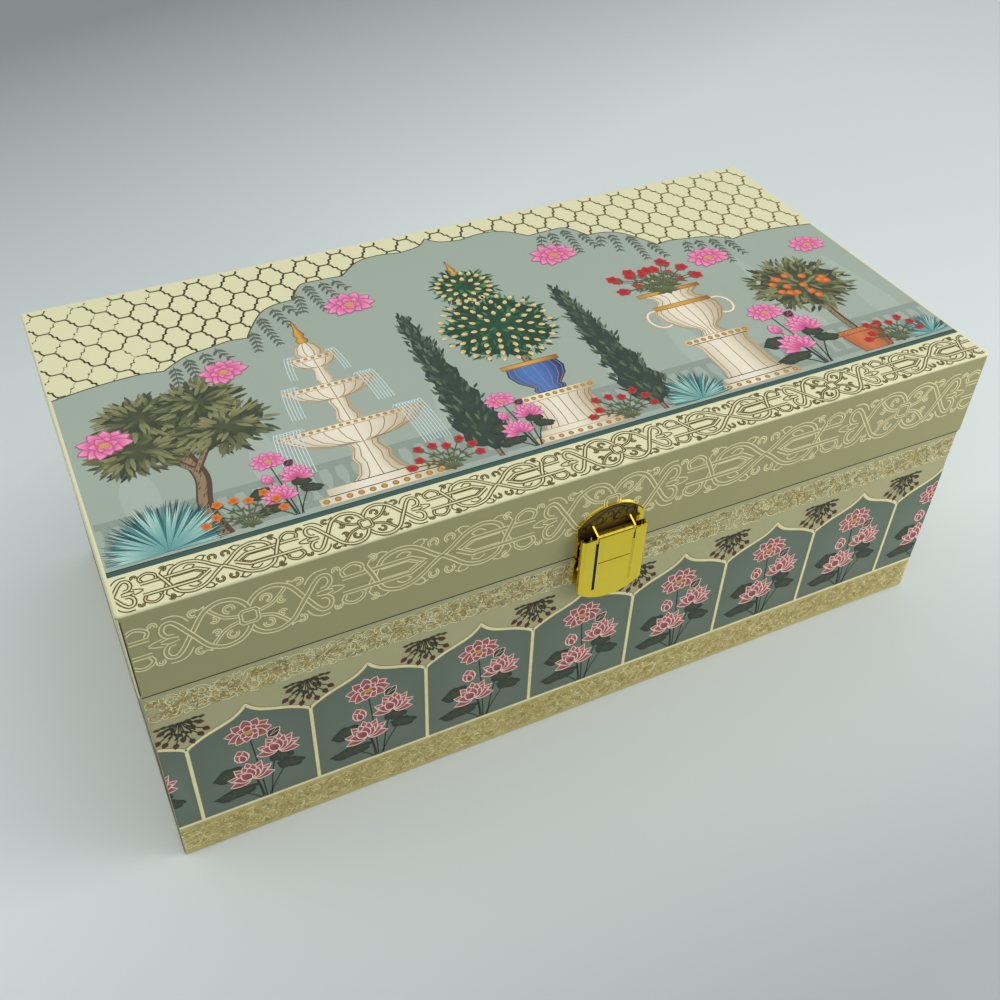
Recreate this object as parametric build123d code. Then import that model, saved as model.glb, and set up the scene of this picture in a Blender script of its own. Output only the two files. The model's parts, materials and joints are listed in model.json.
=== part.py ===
from build123d import *
import os

# Wooden gift box with a hinged lid and a sprung brass clasp.
# X runs along the front, Y to the back, Z up. The origin is on the floor, under the middle of the base.

# The closed box, over its paper
box_length = 264.0
box_depth = 137.5
base_height = 72.2
closed_height = 102.4
lid_overhang = 0.4
seam_gap = 0.3
edge_round = 1.0

# Boards, papers and linings
wall_board = 5.0
floor_board = 3.6
paper = 0.3
lining = 0.5
floor_card = 1.2
underside_inset = 3.0
band_turn_in = 12.0
paper_hem = 1.6
paper_joint = 0.4

# Finger joints between the boards
base_corner_finger_count = 7
lid_corner_finger_count = 3
long_edge_finger_count = 9
short_edge_finger_count = 5

# Nails, all of one size: cut tacks with a square shank, a chisel point and a flat bevelled head
nail_shank_half = 0.5
nail_head_radius = 1.3
nail_head_bevel = 0.35
nail_head_height = 0.45
nail_length = 4.4
nail_point = 1.0
nail_clearance = 0.05

# Butt hinges on the back
hinge_inset = 48.0
leaf_width = 24.0
leaf_height = 11.0
leaf_thickness = 0.8
leaf_corner = 1.5
barrel_radius = 1.7
barrel_standoff = 0.2
hinge_pin_radius = 0.8
knuckle_count = 5
knuckle_gap = 0.15
notch_clearance = 0.25
hinge_nail_spread = 15.0
hinge_nail_drop = 6.8

# Clasp plates on the lid and the base
clasp_width = 21.2
plate_thickness = 0.8
plate_seam_clearance = 0.2
lid_plate_shoulder = 11.1
lid_plate_arch = 5.3
keeper_height = 10.4
catch_rib_radius = 1.2
catch_rib_length = 9.0
catch_rib_drop = 8.0
clasp_nail_spread = 16.6
lid_nail_rise = 3.4
keeper_nail_drop = 5.0

# Clasp flap, a stamped cover with a sprung tongue
flap_sheet = 0.6
flap_standoff = 4.2
flap_depth = 2.5
flap_pivot_rise = 7.3
pivot_standoff = 2.5
wing_rise = 0.9
wing_lip = 3.7
flap_side_drop = 19.2
flap_sag = 4.1
bottom_lip_depth = 1.8
slit_centre = 5.95
slit_width = 0.75
slit_drop = 18.9
crease_drop = 8.8
crease_width = 0.35
crease_depth = 0.25
crease_end = 0.5

# Clasp pivot: the tongue's knuckle turns on a pin between two ears
clasp_pin_radius = 0.7
shelf_bend = 1.2
ear_thickness = 0.5
ear_rise = 3.2
ear_nose_rise = 1.9
ear_nose_standoff = 4.0
ear_nose_drop = 0.9
ear_root_drop = 3.0

# Radial fits: one for what turns on a pin, one for what a pin is pressed into
running_fit = 0.06
fixed_fit = 0.02

# How far a cut is carried past the face that it opens
cut_margin = 1.0

# Levels and faces that the pieces share
half_length = box_length / 2
hinge_middle = half_length - hinge_inset
front_face = -box_depth / 2
back_face = box_depth / 2
lid_bottom = base_height + seam_gap
lid_half_length = half_length + lid_overhang
lid_front_face = front_face - lid_overhang
board_half_length = half_length - paper
lid_board_half_length = lid_half_length - paper
board_round = max(edge_round - paper, edge_round / 4)


def block(x_low, x_high, y_low, y_high, z_low, z_high):
    """A plain block between two corners."""
    size = Box(x_high - x_low, y_high - y_low, z_high - z_low)
    return Pos((x_low + x_high) / 2, (y_low + y_high) / 2, (z_low + z_high) / 2) * size


def rounded_block(x_half, y_low, y_high, z_low, z_high, radius, top=False):
    """A block with its upright edges rounded, and its top edges too where it is a lid."""
    body = block(-x_half, x_half, y_low, y_high, z_low, z_high)
    edges = body.edges().filter_by(Axis.Z)
    if top:
        edges = edges + body.edges().group_by(Axis.Z)[-1]
    return fillet(edges, radius)


def finger_spans(start, stop, count, first):
    """Every other span of an edge that is cut into an odd count of equal fingers."""
    step = (stop - start) / count
    return [(start + i * step, start + (i + 1) * step) for i in range(first, count, 2)]


def carcass(x_half, y_front, y_back, z_rim, z_floor, corner_fingers):
    """Four walls and a floor board, finger-jointed along every edge; z_floor is the closed side."""
    z_low = min(z_rim, z_floor)
    z_high = max(z_rim, z_floor)
    inward = 1 if z_rim > z_floor else -1
    z_floor_inner = z_floor + inward * floor_board
    floor_low = min(z_floor, z_floor_inner)
    floor_high = max(z_floor, z_floor_inner)
    x_inner = x_half - wall_board
    y_front_inner = y_front + wall_board
    y_back_inner = y_back - wall_board

    front = block(-x_half, x_half, y_front, y_front_inner, z_low, z_high)
    back = block(-x_half, x_half, y_back_inner, y_back, z_low, z_high)
    left = block(-x_half, -x_inner, y_front, y_back, z_low, z_high)
    right = block(x_inner, x_half, y_front, y_back, z_low, z_high)
    bottom = block(-x_inner, x_inner, y_front_inner, y_back_inner, floor_low, floor_high)

    for low, high in finger_spans(z_low, z_high, corner_fingers, 1):
        front -= block(-x_half, -x_inner, y_front, y_front_inner, low, high)
        front -= block(x_inner, x_half, y_front, y_front_inner, low, high)
        back -= block(-x_half, -x_inner, y_back_inner, y_back, low, high)
        back -= block(x_inner, x_half, y_back_inner, y_back, low, high)
    for low, high in finger_spans(z_low, z_high, corner_fingers, 0):
        for y_low, y_high in ((y_front, y_front_inner), (y_back_inner, y_back)):
            left -= block(-x_half, -x_inner, y_low, y_high, low, high)
            right -= block(x_inner, x_half, y_low, y_high, low, high)
    for low, high in finger_spans(-x_inner, x_inner, long_edge_finger_count, 1):
        front_tab = block(low, high, y_front, y_front_inner, floor_low, floor_high)
        back_tab = block(low, high, y_back_inner, y_back, floor_low, floor_high)
        bottom += front_tab + back_tab
        front -= front_tab
        back -= back_tab
    for low, high in finger_spans(y_front_inner, y_back_inner, short_edge_finger_count, 1):
        left_tab = block(-x_half, -x_inner, low, high, floor_low, floor_high)
        right_tab = block(x_inner, x_half, low, high, floor_low, floor_high)
        bottom += left_tab + right_tab
        left -= left_tab
        right -= right_tab
    return front, back, left, right, bottom


def lining_ring(x_half, y_low, y_high, z_low, z_high):
    """A strip pasted round the inside of four walls."""
    outer = block(-x_half, x_half, y_low, y_high, z_low, z_high)
    inner = block(-x_half + lining, x_half - lining, y_low + lining, y_high - lining, z_low, z_high)
    return outer - inner


def front_panel(outline, y_low, y_high):
    """A shape drawn in the front view, X by Z, and given a thickness along Y."""
    face = Plane.XZ.offset(-y_high) * make_face(outline)
    return extrude(face, y_high - y_low)


def cross_section(outline, x_low, x_high):
    """A shape drawn in the side view, Y by Z, and given a width along X."""
    face = Plane.YZ.offset(x_low) * make_face(outline)
    return extrude(face, x_high - x_low)


def nail(x, y_seat, z, into):
    """A nail whose head sits on y_seat; into is +1 if it is driven towards the back."""
    shoulder = nail_length - nail_point
    head_outline = Polyline(
        (0, -nail_head_height),
        (nail_head_radius - nail_head_bevel, -nail_head_height),
        (nail_head_radius, 0),
        (0, 0),
        (0, -nail_head_height),
    )
    shank_outline = Polyline(
        (0, -nail_shank_half),
        (shoulder, -nail_shank_half),
        (nail_length, 0),
        (shoulder, nail_shank_half),
        (0, nail_shank_half),
        (0, -nail_shank_half),
    )
    head = revolve(make_face(head_outline), Axis.Y)
    shank = cross_section(shank_outline, -nail_shank_half, nail_shank_half)
    turn = 0 if into > 0 else 180
    return Pos(x, y_seat, z) * Rot(0, 0, turn) * (head + shank)


def nail_hole(x, y_seat, z, into):
    """The room that a nail's shank takes in what it goes through."""
    depth = nail_length + nail_clearance
    width = 2 * (nail_shank_half + nail_clearance)
    hole = Box(width, depth, width)
    return Pos(x, y_seat + into * depth / 2, z) * hole


def along_x(x_low, x_high, y, z, radius):
    """A round bar or bore along X."""
    bar = Rot(0, 90, 0) * Cylinder(radius, x_high - x_low)
    return Pos((x_low + x_high) / 2, y, z) * bar


# Base: five boards
base_board_front = front_face + paper
base_board_back = back_face - paper
band_low = paper
base_board_low = band_low + paper
base_board_high = base_height - paper
base_front, base_back, base_left, base_right, base_bottom = carcass(
    board_half_length,
    base_board_front,
    base_board_back,
    base_board_high,
    base_board_low,
    base_corner_finger_count,
)
base_body = rounded_block(
    board_half_length,
    base_board_front,
    base_board_back,
    base_board_low,
    base_board_high,
    board_round,
)

# Base: the lining, the printed band turned over the rim and under the base, and the paper underneath
base_inner_x = board_half_length - wall_board
base_inner_front = base_board_front + wall_board
base_inner_back = base_board_back - wall_board
base_floor_level = base_board_low + floor_board
base_floor_card = block(
    -base_inner_x + lining,
    base_inner_x - lining,
    base_inner_front + lining,
    base_inner_back - lining,
    base_floor_level,
    base_floor_level + floor_card,
)
base_wall_lining = lining_ring(
    base_inner_x,
    base_inner_front,
    base_inner_back,
    base_floor_level,
    base_board_high,
)
base_wrap = rounded_block(half_length, front_face, back_face, band_low, base_height, edge_round)
base_wrap -= base_body
base_wrap -= block(
    -half_length + band_turn_in,
    half_length - band_turn_in,
    front_face + band_turn_in,
    back_face - band_turn_in,
    band_low,
    base_board_low,
)
base_wrap -= block(
    -base_inner_x + lining,
    base_inner_x - lining,
    base_inner_front + lining,
    base_inner_back - lining,
    base_board_low,
    base_height,
)
underside_paper = block(
    -half_length + underside_inset,
    half_length - underside_inset,
    front_face + underside_inset,
    back_face - underside_inset,
    0,
    paper,
)

# Lid: five boards, the same carcass turned over
lid_board_front = lid_front_face + paper
lid_board_low = lid_bottom + paper
lid_board_high = closed_height - paper
lid_front, lid_back, lid_left, lid_right, lid_top = carcass(
    lid_board_half_length,
    lid_board_front,
    base_board_back,
    lid_board_low,
    lid_board_high,
    lid_corner_finger_count,
)
lid_body = rounded_block(
    lid_board_half_length,
    lid_board_front,
    base_board_back,
    lid_board_low,
    lid_board_high,
    board_round,
    top=True,
)

# Lid: linings
lid_inner_x = lid_board_half_length - wall_board
lid_inner_front = lid_board_front + wall_board
lid_ceiling = lid_board_high - floor_board
lid_wall_lining = lining_ring(
    lid_inner_x,
    lid_inner_front,
    base_inner_back,
    lid_board_low,
    lid_ceiling,
)
lid_top_lining = block(
    -lid_inner_x + lining,
    lid_inner_x - lining,
    lid_inner_front + lining,
    base_inner_back - lining,
    lid_ceiling - lining,
    lid_ceiling,
)

# Lid: the main printed sheet covers front, top and back and is turned a hem's width round the sides.
# The side sheets lie between the hems, and leave a thin open joint.
lid_main_sheet = rounded_block(
    lid_half_length,
    lid_front_face,
    back_face,
    lid_bottom,
    closed_height,
    edge_round,
    top=True,
)
lid_main_sheet -= lid_body
lid_main_sheet -= block(
    -lid_inner_x + lining,
    lid_inner_x - lining,
    lid_inner_front + lining,
    base_inner_back - lining,
    lid_bottom,
    lid_ceiling,
)


def side_sheet(side, gap):
    """The paper on one end of the lid, less a gap all round."""
    x_ends = sorted((side * lid_board_half_length, side * lid_half_length))
    return block(
        x_ends[0],
        x_ends[1],
        lid_front_face + paper_hem + gap,
        back_face - paper_hem - gap,
        lid_board_low + gap,
        closed_height - paper_hem - gap,
    )


lid_main_sheet -= side_sheet(-1, 0)
lid_main_sheet -= side_sheet(1, 0)
lid_left_sheet = side_sheet(-1, paper_joint)
lid_right_sheet = side_sheet(1, paper_joint)

# Hinges: rolled knuckles of two leaves take turns on one pin, outside the back at the seam
hinge_y = back_face + barrel_radius + barrel_standoff
hinge_z = base_height + seam_gap / 2
leaf_face = back_face + leaf_thickness


def hinge_leaf(x_middle, up, own_first):
    """One leaf; up is +1 for the lid's, and own_first says which knuckles are its own."""
    x_low = x_middle - leaf_width / 2
    x_high = x_middle + leaf_width / 2
    z_ends = sorted((hinge_z, hinge_z + up * leaf_height))
    leaf = block(x_low, x_high, back_face, leaf_face, z_ends[0], z_ends[1])
    across = leaf.edges().filter_by(Axis.Y)
    free_corners = across.group_by(Axis.Z)[-1 if up > 0 else 0]
    leaf = fillet(free_corners, leaf_corner)
    pitch = leaf_width / knuckle_count
    reach = barrel_radius + notch_clearance
    notch_ends = sorted((hinge_z, hinge_z + up * reach))
    for i in range(knuckle_count):
        left_end = x_low + i * pitch
        right_end = left_end + pitch
        if i % 2 == own_first:
            start = left_end + (knuckle_gap / 2 if i > 0 else 0)
            stop = right_end - (knuckle_gap / 2 if i < knuckle_count - 1 else 0)
            leaf += along_x(start, stop, hinge_y, hinge_z, barrel_radius)
        else:
            start = left_end - (knuckle_gap / 2 if i > 0 else cut_margin)
            stop = right_end + (knuckle_gap / 2 if i < knuckle_count - 1 else cut_margin)
            leaf -= block(start, stop, back_face, leaf_face, notch_ends[0], notch_ends[1])
    bore_clearance = running_fit if up > 0 else fixed_fit
    leaf -= along_x(x_low, x_high, hinge_y, hinge_z, hinge_pin_radius + bore_clearance)
    return leaf


def hinge_nail_places(up):
    """Where the nails of one leaf of each hinge go."""
    places = []
    for x_middle in (-hinge_middle, hinge_middle):
        for side in (-1, 1):
            x = x_middle + side * hinge_nail_spread / 2
            places.append((x, leaf_face, hinge_z + up * hinge_nail_drop, -1))
    return places


hinge_parts = {}
for name, x_middle in (("left", -hinge_middle), ("right", hinge_middle)):
    hinge_parts[name + "_hinge_base_leaf"] = hinge_leaf(x_middle, -1, 0)
    hinge_parts[name + "_hinge_lid_leaf"] = hinge_leaf(x_middle, 1, 1)
    hinge_parts[name + "_hinge_pin"] = along_x(
        x_middle - leaf_width / 2,
        x_middle + leaf_width / 2,
        hinge_y,
        hinge_z,
        hinge_pin_radius,
    )
base_hinge_places = hinge_nail_places(-1)
lid_hinge_places = hinge_nail_places(1)

# Clasp: shared places
half_clasp = clasp_width / 2
lid_plate_face = lid_front_face - plate_thickness
keeper_face = front_face - plate_thickness
flap_front = lid_front_face - flap_standoff
flap_inner = flap_front + flap_sheet
flap_back = flap_front + flap_depth
pivot_y = lid_front_face - pivot_standoff
pivot_z = lid_bottom + flap_pivot_rise
knuckle_bore = clasp_pin_radius + running_fit
knuckle_radius = knuckle_bore + flap_sheet
tongue_half = slit_centre - slit_width / 2
shelf_top = pivot_z + knuckle_radius
shelf_under = pivot_z + knuckle_bore


# Clasp: lid plate with an arched head and two ears that carry the pin
lid_plate_low = lid_bottom + plate_seam_clearance
shoulder_z = lid_bottom + lid_plate_shoulder
arch_z = shoulder_z + lid_plate_arch
plate_sides = Polyline(
    (half_clasp, shoulder_z),
    (half_clasp, lid_plate_low),
    (-half_clasp, lid_plate_low),
    (-half_clasp, shoulder_z),
)
plate_arch = ThreePointArc((-half_clasp, shoulder_z), (0, arch_z), (half_clasp, shoulder_z))
clasp_lid_plate = front_panel(plate_sides + plate_arch, lid_plate_face, lid_front_face)
ear_outline = Polyline(
    (lid_plate_face, pivot_z - ear_root_drop),
    (lid_front_face - ear_nose_standoff, pivot_z - ear_nose_drop),
    (lid_front_face - ear_nose_standoff, pivot_z + ear_nose_rise),
    (lid_plate_face, pivot_z + ear_rise),
    (lid_plate_face, pivot_z - ear_root_drop),
)
for side in (-1, 1):
    ear_middle = side * slit_centre
    clasp_lid_plate += cross_section(
        ear_outline,
        ear_middle - ear_thickness / 2,
        ear_middle + ear_thickness / 2,
    )
clasp_lid_plate -= along_x(-half_clasp, half_clasp, pivot_y, pivot_z, clasp_pin_radius + fixed_fit)
pin_half = slit_centre + ear_thickness / 2
clasp_pin = along_x(-pin_half, pin_half, pivot_y, pivot_z, clasp_pin_radius)

# Clasp: keeper plate on the base, with a rounded rib that the flap's lower lip snaps over
keeper_high = base_height - plate_seam_clearance
keeper_low = base_height - keeper_height
clasp_keeper = block(-half_clasp, half_clasp, keeper_face, front_face, keeper_low, keeper_high)
rib_z = base_height - catch_rib_drop
rib = along_x(-catch_rib_length / 2, catch_rib_length / 2, keeper_face, rib_z, catch_rib_radius)
rib_reach = keeper_face - 2 * catch_rib_radius
rib_room = block(-half_clasp, half_clasp, rib_reach, keeper_face, keeper_low, keeper_high)
clasp_keeper += rib & rib_room


def flap_outline(inset):
    """The cover seen from the front, with its sagging lower edge, drawn inset by one sheet or none."""
    top = pivot_z + wing_rise + inset
    side = half_clasp - inset
    corner = pivot_z - flap_side_drop + inset
    middle = corner - flap_sag
    edge = Polyline((side, corner), (side, top), (-side, top), (-side, corner))
    sag = ThreePointArc((-side, corner), (0, middle), (side, corner))
    return edge + sag


def wing_tube(inset):
    """The cover's rolled section, a flattened round as wide as the clasp, along the cover's height."""
    width = clasp_width - 2 * inset
    depth = flap_depth - 2 * inset
    low = pivot_z - flap_side_drop - 2 * flap_sag
    section = Pos(0, (flap_front + flap_back) / 2, low) * SlotOverall(width, depth)
    return extrude(section, pivot_z + flap_depth - low)


# Clasp: flap. The rolled shell is cut to its outline, hollowed, and opened at the back between its lips.
shell = wing_tube(0) & front_panel(flap_outline(0), flap_front, flap_back)
hollow = wing_tube(flap_sheet) & front_panel(flap_outline(flap_sheet), flap_inner, flap_back)
clasp_flap = shell - hollow
lip_edge = half_clasp - wing_lip
window_low = pivot_z - flap_side_drop - flap_sag
clasp_flap -= block(
    -lip_edge,
    lip_edge,
    flap_inner + bottom_lip_depth - flap_sheet,
    flap_back + cut_margin,
    window_low - cut_margin,
    pivot_z + flap_depth,
)
clasp_flap -= block(
    -lip_edge,
    lip_edge,
    flap_inner,
    flap_back + cut_margin,
    pivot_z - slit_drop,
    pivot_z + flap_depth,
)
for side in (-1, 1):
    middle = side * slit_centre
    clasp_flap -= block(
        middle - slit_width / 2,
        middle + slit_width / 2,
        flap_front - cut_margin,
        flap_back + cut_margin,
        pivot_z - slit_drop,
        pivot_z + flap_depth,
    )

# Clasp: the tongue bends back over the top as a shelf, and rolls round the pin
bend_y = flap_front + shelf_bend
bend_z = shelf_top - shelf_bend
inner_bend = shelf_bend - flap_sheet
tongue_low = pivot_z - slit_drop
diagonal = 0.5**0.5
knuckle_back = ThreePointArc(
    (pivot_y, shelf_top),
    (pivot_y + knuckle_radius, pivot_z),
    (pivot_y, pivot_z - knuckle_radius),
)
knuckle_end = Polyline((pivot_y, pivot_z - knuckle_radius), (pivot_y, pivot_z - knuckle_bore))
knuckle_inside = ThreePointArc(
    (pivot_y, pivot_z - knuckle_bore),
    (pivot_y + knuckle_bore, pivot_z),
    (pivot_y, shelf_under),
)
shelf_below = Polyline((pivot_y, shelf_under), (bend_y, shelf_under))
bend_inside = ThreePointArc(
    (bend_y, shelf_under),
    (bend_y - inner_bend * diagonal, bend_z + inner_bend * diagonal),
    (flap_inner, bend_z),
)
tongue_face = Polyline(
    (flap_inner, bend_z),
    (flap_inner, tongue_low),
    (flap_front, tongue_low),
    (flap_front, bend_z),
)
bend_outside = ThreePointArc(
    (flap_front, bend_z),
    (bend_y - shelf_bend * diagonal, bend_z + shelf_bend * diagonal),
    (bend_y, shelf_top),
)
shelf_above = Polyline((bend_y, shelf_top), (pivot_y, shelf_top))
tongue_outline = (
    knuckle_back
    + knuckle_end
    + knuckle_inside
    + shelf_below
    + bend_inside
    + tongue_face
    + bend_outside
    + shelf_above
)
clasp_flap += cross_section(tongue_outline, -tongue_half, tongue_half)
crease_z = pivot_z - crease_drop
crease = Polyline(
    (flap_front, crease_z - crease_width / 2),
    (flap_front + crease_depth, crease_z),
    (flap_front, crease_z + crease_width / 2),
    (flap_front - cut_margin, crease_z + crease_width / 2),
    (flap_front - cut_margin, crease_z - crease_width / 2),
    (flap_front, crease_z - crease_width / 2),
)
clasp_flap -= cross_section(crease, -tongue_half, tongue_half - crease_end)

# Nails of the clasp, hidden behind the closed flap
lid_clasp_places = []
keeper_places = []
for side in (-1, 1):
    nail_x = side * clasp_nail_spread / 2
    lid_clasp_places.append((nail_x, lid_plate_face, lid_bottom + lid_nail_rise, 1))
    keeper_places.append((nail_x, keeper_face, base_height - keeper_nail_drop, 1))


def drilled(solid, places):
    """A piece with the holes of every nail that reaches it."""
    for place in places:
        solid = solid - nail_hole(*place)
    return solid


def nails(places):
    """A group of like nails."""
    return Compound(children=[nail(*place) for place in places])


parts = {
    "base_front_board": drilled(base_front & base_body, keeper_places),
    "base_back_board": drilled(base_back & base_body, base_hinge_places),
    "base_left_board": base_left & base_body,
    "base_right_board": base_right & base_body,
    "base_bottom_board": base_bottom & base_body,
    "base_wrap": drilled(base_wrap, keeper_places + base_hinge_places),
    "underside_paper": underside_paper,
    "base_wall_lining": base_wall_lining,
    "base_floor_card": base_floor_card,
    "lid_front_board": drilled(lid_front & lid_body, lid_clasp_places),
    "lid_back_board": drilled(lid_back & lid_body, lid_hinge_places),
    "lid_left_board": lid_left & lid_body,
    "lid_right_board": lid_right & lid_body,
    "lid_top_board": lid_top & lid_body,
    "lid_main_sheet": drilled(lid_main_sheet, lid_clasp_places + lid_hinge_places),
    "lid_left_sheet": lid_left_sheet,
    "lid_right_sheet": lid_right_sheet,
    "lid_wall_lining": lid_wall_lining,
    "lid_top_lining": lid_top_lining,
    "hinge_base_nails": nails(base_hinge_places),
    "hinge_lid_nails": nails(lid_hinge_places),
    "clasp_lid_plate": drilled(clasp_lid_plate, lid_clasp_places),
    "clasp_pin": clasp_pin,
    "clasp_lid_nails": nails(lid_clasp_places),
    "clasp_flap": clasp_flap,
    "clasp_keeper": drilled(clasp_keeper, keeper_places),
    "clasp_keeper_nails": nails(keeper_places),
}
for name, solid in hinge_parts.items():
    if name.endswith("_base_leaf"):
        parts[name] = drilled(solid, base_hinge_places)
    elif name.endswith("_lid_leaf"):
        parts[name] = drilled(solid, lid_hinge_places)
    else:
        parts[name] = solid

os.makedirs("parts", exist_ok=True)
for name, solid in parts.items():
    export_step(solid, "parts/" + name + ".step")
print(len(parts), "pieces written")
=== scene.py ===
# %% [markdown]
# # A papered wooden gift box
# The real object is a box of thin board, papered outside with a printed and foil-stamped sheet,
# with a hinged lid and a small sprung brass clasp. The boards, papers, hinges and clasp come in
# as solid parts. This lesson gives each of them its finish, and lays the print and the gold foil
# on the paper as very thin pieces, because ink and foil really are a layer on top of the sheet.

# %% Load the solid parts
import json
import math
import random

import bpy
from mathutils import Matrix, Vector


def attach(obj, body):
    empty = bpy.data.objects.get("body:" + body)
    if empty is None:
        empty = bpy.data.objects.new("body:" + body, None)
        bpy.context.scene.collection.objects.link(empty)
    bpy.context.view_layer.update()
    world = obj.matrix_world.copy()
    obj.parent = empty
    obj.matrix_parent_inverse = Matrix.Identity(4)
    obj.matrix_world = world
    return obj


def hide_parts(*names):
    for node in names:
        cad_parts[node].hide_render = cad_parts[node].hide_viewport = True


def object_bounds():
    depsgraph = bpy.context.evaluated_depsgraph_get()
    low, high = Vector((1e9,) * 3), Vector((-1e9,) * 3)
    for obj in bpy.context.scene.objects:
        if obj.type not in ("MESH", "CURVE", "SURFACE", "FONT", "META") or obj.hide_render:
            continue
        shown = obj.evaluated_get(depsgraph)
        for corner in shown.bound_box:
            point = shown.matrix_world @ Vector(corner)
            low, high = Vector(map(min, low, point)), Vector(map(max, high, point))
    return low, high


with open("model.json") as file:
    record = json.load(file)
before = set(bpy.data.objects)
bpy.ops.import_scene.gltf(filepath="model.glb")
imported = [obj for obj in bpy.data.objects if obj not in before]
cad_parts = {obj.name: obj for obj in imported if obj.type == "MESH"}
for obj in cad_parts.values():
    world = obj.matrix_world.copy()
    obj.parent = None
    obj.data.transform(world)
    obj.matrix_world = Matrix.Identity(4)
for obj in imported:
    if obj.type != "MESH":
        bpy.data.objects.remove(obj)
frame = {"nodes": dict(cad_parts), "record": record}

solid_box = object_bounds()
parts = frame["nodes"]
MM = 0.001
print("parts", len(parts), "box", [tuple(round(x, 4) for x in corner) for corner in solid_box])


def put_in_scene(name, data):
    """A new object of the scene, from a mesh, a light or a camera."""
    made = bpy.data.objects.new(name, data)
    bpy.context.scene.collection.objects.link(made)
    return made



# %% [markdown]
# The photograph was taken from above the left front corner with a lens a little shorter than a
# normal one. A camera could be aimed by eye, but the corners of the box give its place exactly,
# so the three directions of the camera are written down as they were measured.

# %% Camera
FOCAL_LENGTH = 41.01
SENSOR_WIDTH = 36.0
CAMERA_PLACE = Vector((-0.13441, -0.26256, 0.29825))
CAMERA_RIGHT = Vector((0.90014118, -0.43465577, 0.02863964))
CAMERA_DOWN = Vector((-0.27166555, -0.6115628, -0.74309405))
CAMERA_AHEAD = Vector((0.34050506, 0.66110915, -0.66857386))

lens = bpy.data.cameras.new("camera")
lens.lens = FOCAL_LENGTH
lens.sensor_width = SENSOR_WIDTH
lens.clip_start = 0.01
camera = put_in_scene("camera", lens)
turn = Matrix((CAMERA_RIGHT, -CAMERA_DOWN, -CAMERA_AHEAD)).transposed().to_4x4()
camera.matrix_world = Matrix.Translation(CAMERA_PLACE) @ turn
bpy.context.scene.camera = camera
print("camera at", tuple(round(x, 3) for x in camera.matrix_world.translation))

# %% [markdown]
# Every finish below is a small sum of nodes. Written out by hand that is long, so one class
# wraps the output of a node, so that it can be added, subtracted and multiplied like a number.
# A colour would turn grey in a Math node, so colours are mixed by a node of their own.

# %% Shader sums


class Wire:
    """One output of a shader node, which can be used in sums like a number."""

    def __init__(self, finish, socket):
        self.finish = finish
        self.socket = socket

    def sum(self, operation, *values):
        """The result of a Math node."""
        settings = {"operation": operation}
        return self.finish.node("ShaderNodeMath", settings, dict(enumerate(values)))

    def __add__(self, other):
        return self.sum("ADD", self, other)

    def __radd__(self, other):
        return self.sum("ADD", other, self)

    def __sub__(self, other):
        return self.sum("SUBTRACT", self, other)

    def __mul__(self, other):
        return self.sum("MULTIPLY", self, other)

    def __rmul__(self, other):
        return self.sum("MULTIPLY", other, self)


class Finish:
    """A material being made, around one Principled shader."""

    def __init__(self, name):
        self.material = bpy.data.materials.new(name)
        self.material.use_nodes = True
        self.tree = self.material.node_tree
        self.shader = self.tree.nodes["Principled BSDF"]

    def put(self, socket, value):
        """Links a wire to a socket, or sets the socket to a constant."""
        if isinstance(value, Wire):
            self.tree.links.new(value.socket, socket)
        else:
            socket.default_value = value

    def node(self, kind, settings, sockets, output=0):
        """Any node: its type, its settings, the values or links of its sockets."""
        made = self.tree.nodes.new(kind)
        for name, value in settings.items():
            setattr(made, name, value)
        for name, value in sockets.items():
            self.put(made.inputs[name], value)
        return Wire(self, made.outputs[output])

    def surface(self, **values):
        """Sets sockets of the Principled shader, with _ for the spaces of their names."""
        for name, value in values.items():
            self.put(self.shader.inputs[name.replace("_", " ")], value)
        return self.material


def linear(red, green, blue):
    """A colour given as 0 to 255 on a screen, as the linear light that shaders use."""
    shades = []
    for value in (red, green, blue):
        share = value / 255
        shades.append(share / 12.92 if share <= 0.04045 else ((share + 0.055) / 1.055) ** 2.4)
    return (*shades, 1.0)


# %% [markdown]
# Paper, foil and brass share the same few patterns: a place on the part, cloudy noise, a mix of
# two colours and a slight relief. Each becomes a short helper.

# %% Pattern helpers


def place(finish):
    """Where a point lies on the part, in metres."""
    return finish.node("ShaderNodeTexCoord", {}, {}, "Object")


def axis(finish, name):
    """One coordinate of a point of the part, in metres."""
    return finish.node("ShaderNodeSeparateXYZ", {}, {"Vector": place(finish)}, name)


def clouds(finish, size, detail):
    """Soft noise from 0 to 1, with patches of about the given size in metres."""
    sockets = {"Vector": place(finish), "Scale": 1 / size, "Detail": detail}
    return finish.node("ShaderNodeTexNoise", {}, sockets, "Fac")


def mixed(finish, share, first, second, how="MIX"):
    """Two colours mixed by a share from 0 to 1."""
    settings = {"data_type": "RGBA", "blend_type": how}
    return finish.node("ShaderNodeMix", settings, {0: share, 6: first, 7: second}, 2)


def relief(finish, height, depth):
    """A bump whose height goes from 0 to the given depth in metres."""
    return finish.node("ShaderNodeBump", {}, {"Distance": depth, "Height": height}, "Normal")


def steps(finish, value, low, high):
    """0 below low, 1 above high, and a straight ramp between."""
    sockets = {0: value, 1: low, 2: high, 3: 0.0, 4: 1.0}
    return finish.node("ShaderNodeMapRange", {"clamp": True}, sockets)


def ink_laid(finish):
    """The colour that a drawn piece carries at each of its points: ink or foil, and on the clasp
    its painted reflections, highlights and shade.
    """
    return finish.node("ShaderNodeAttribute", {"attribute_name": "ink"}, {}, "Color")
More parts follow.
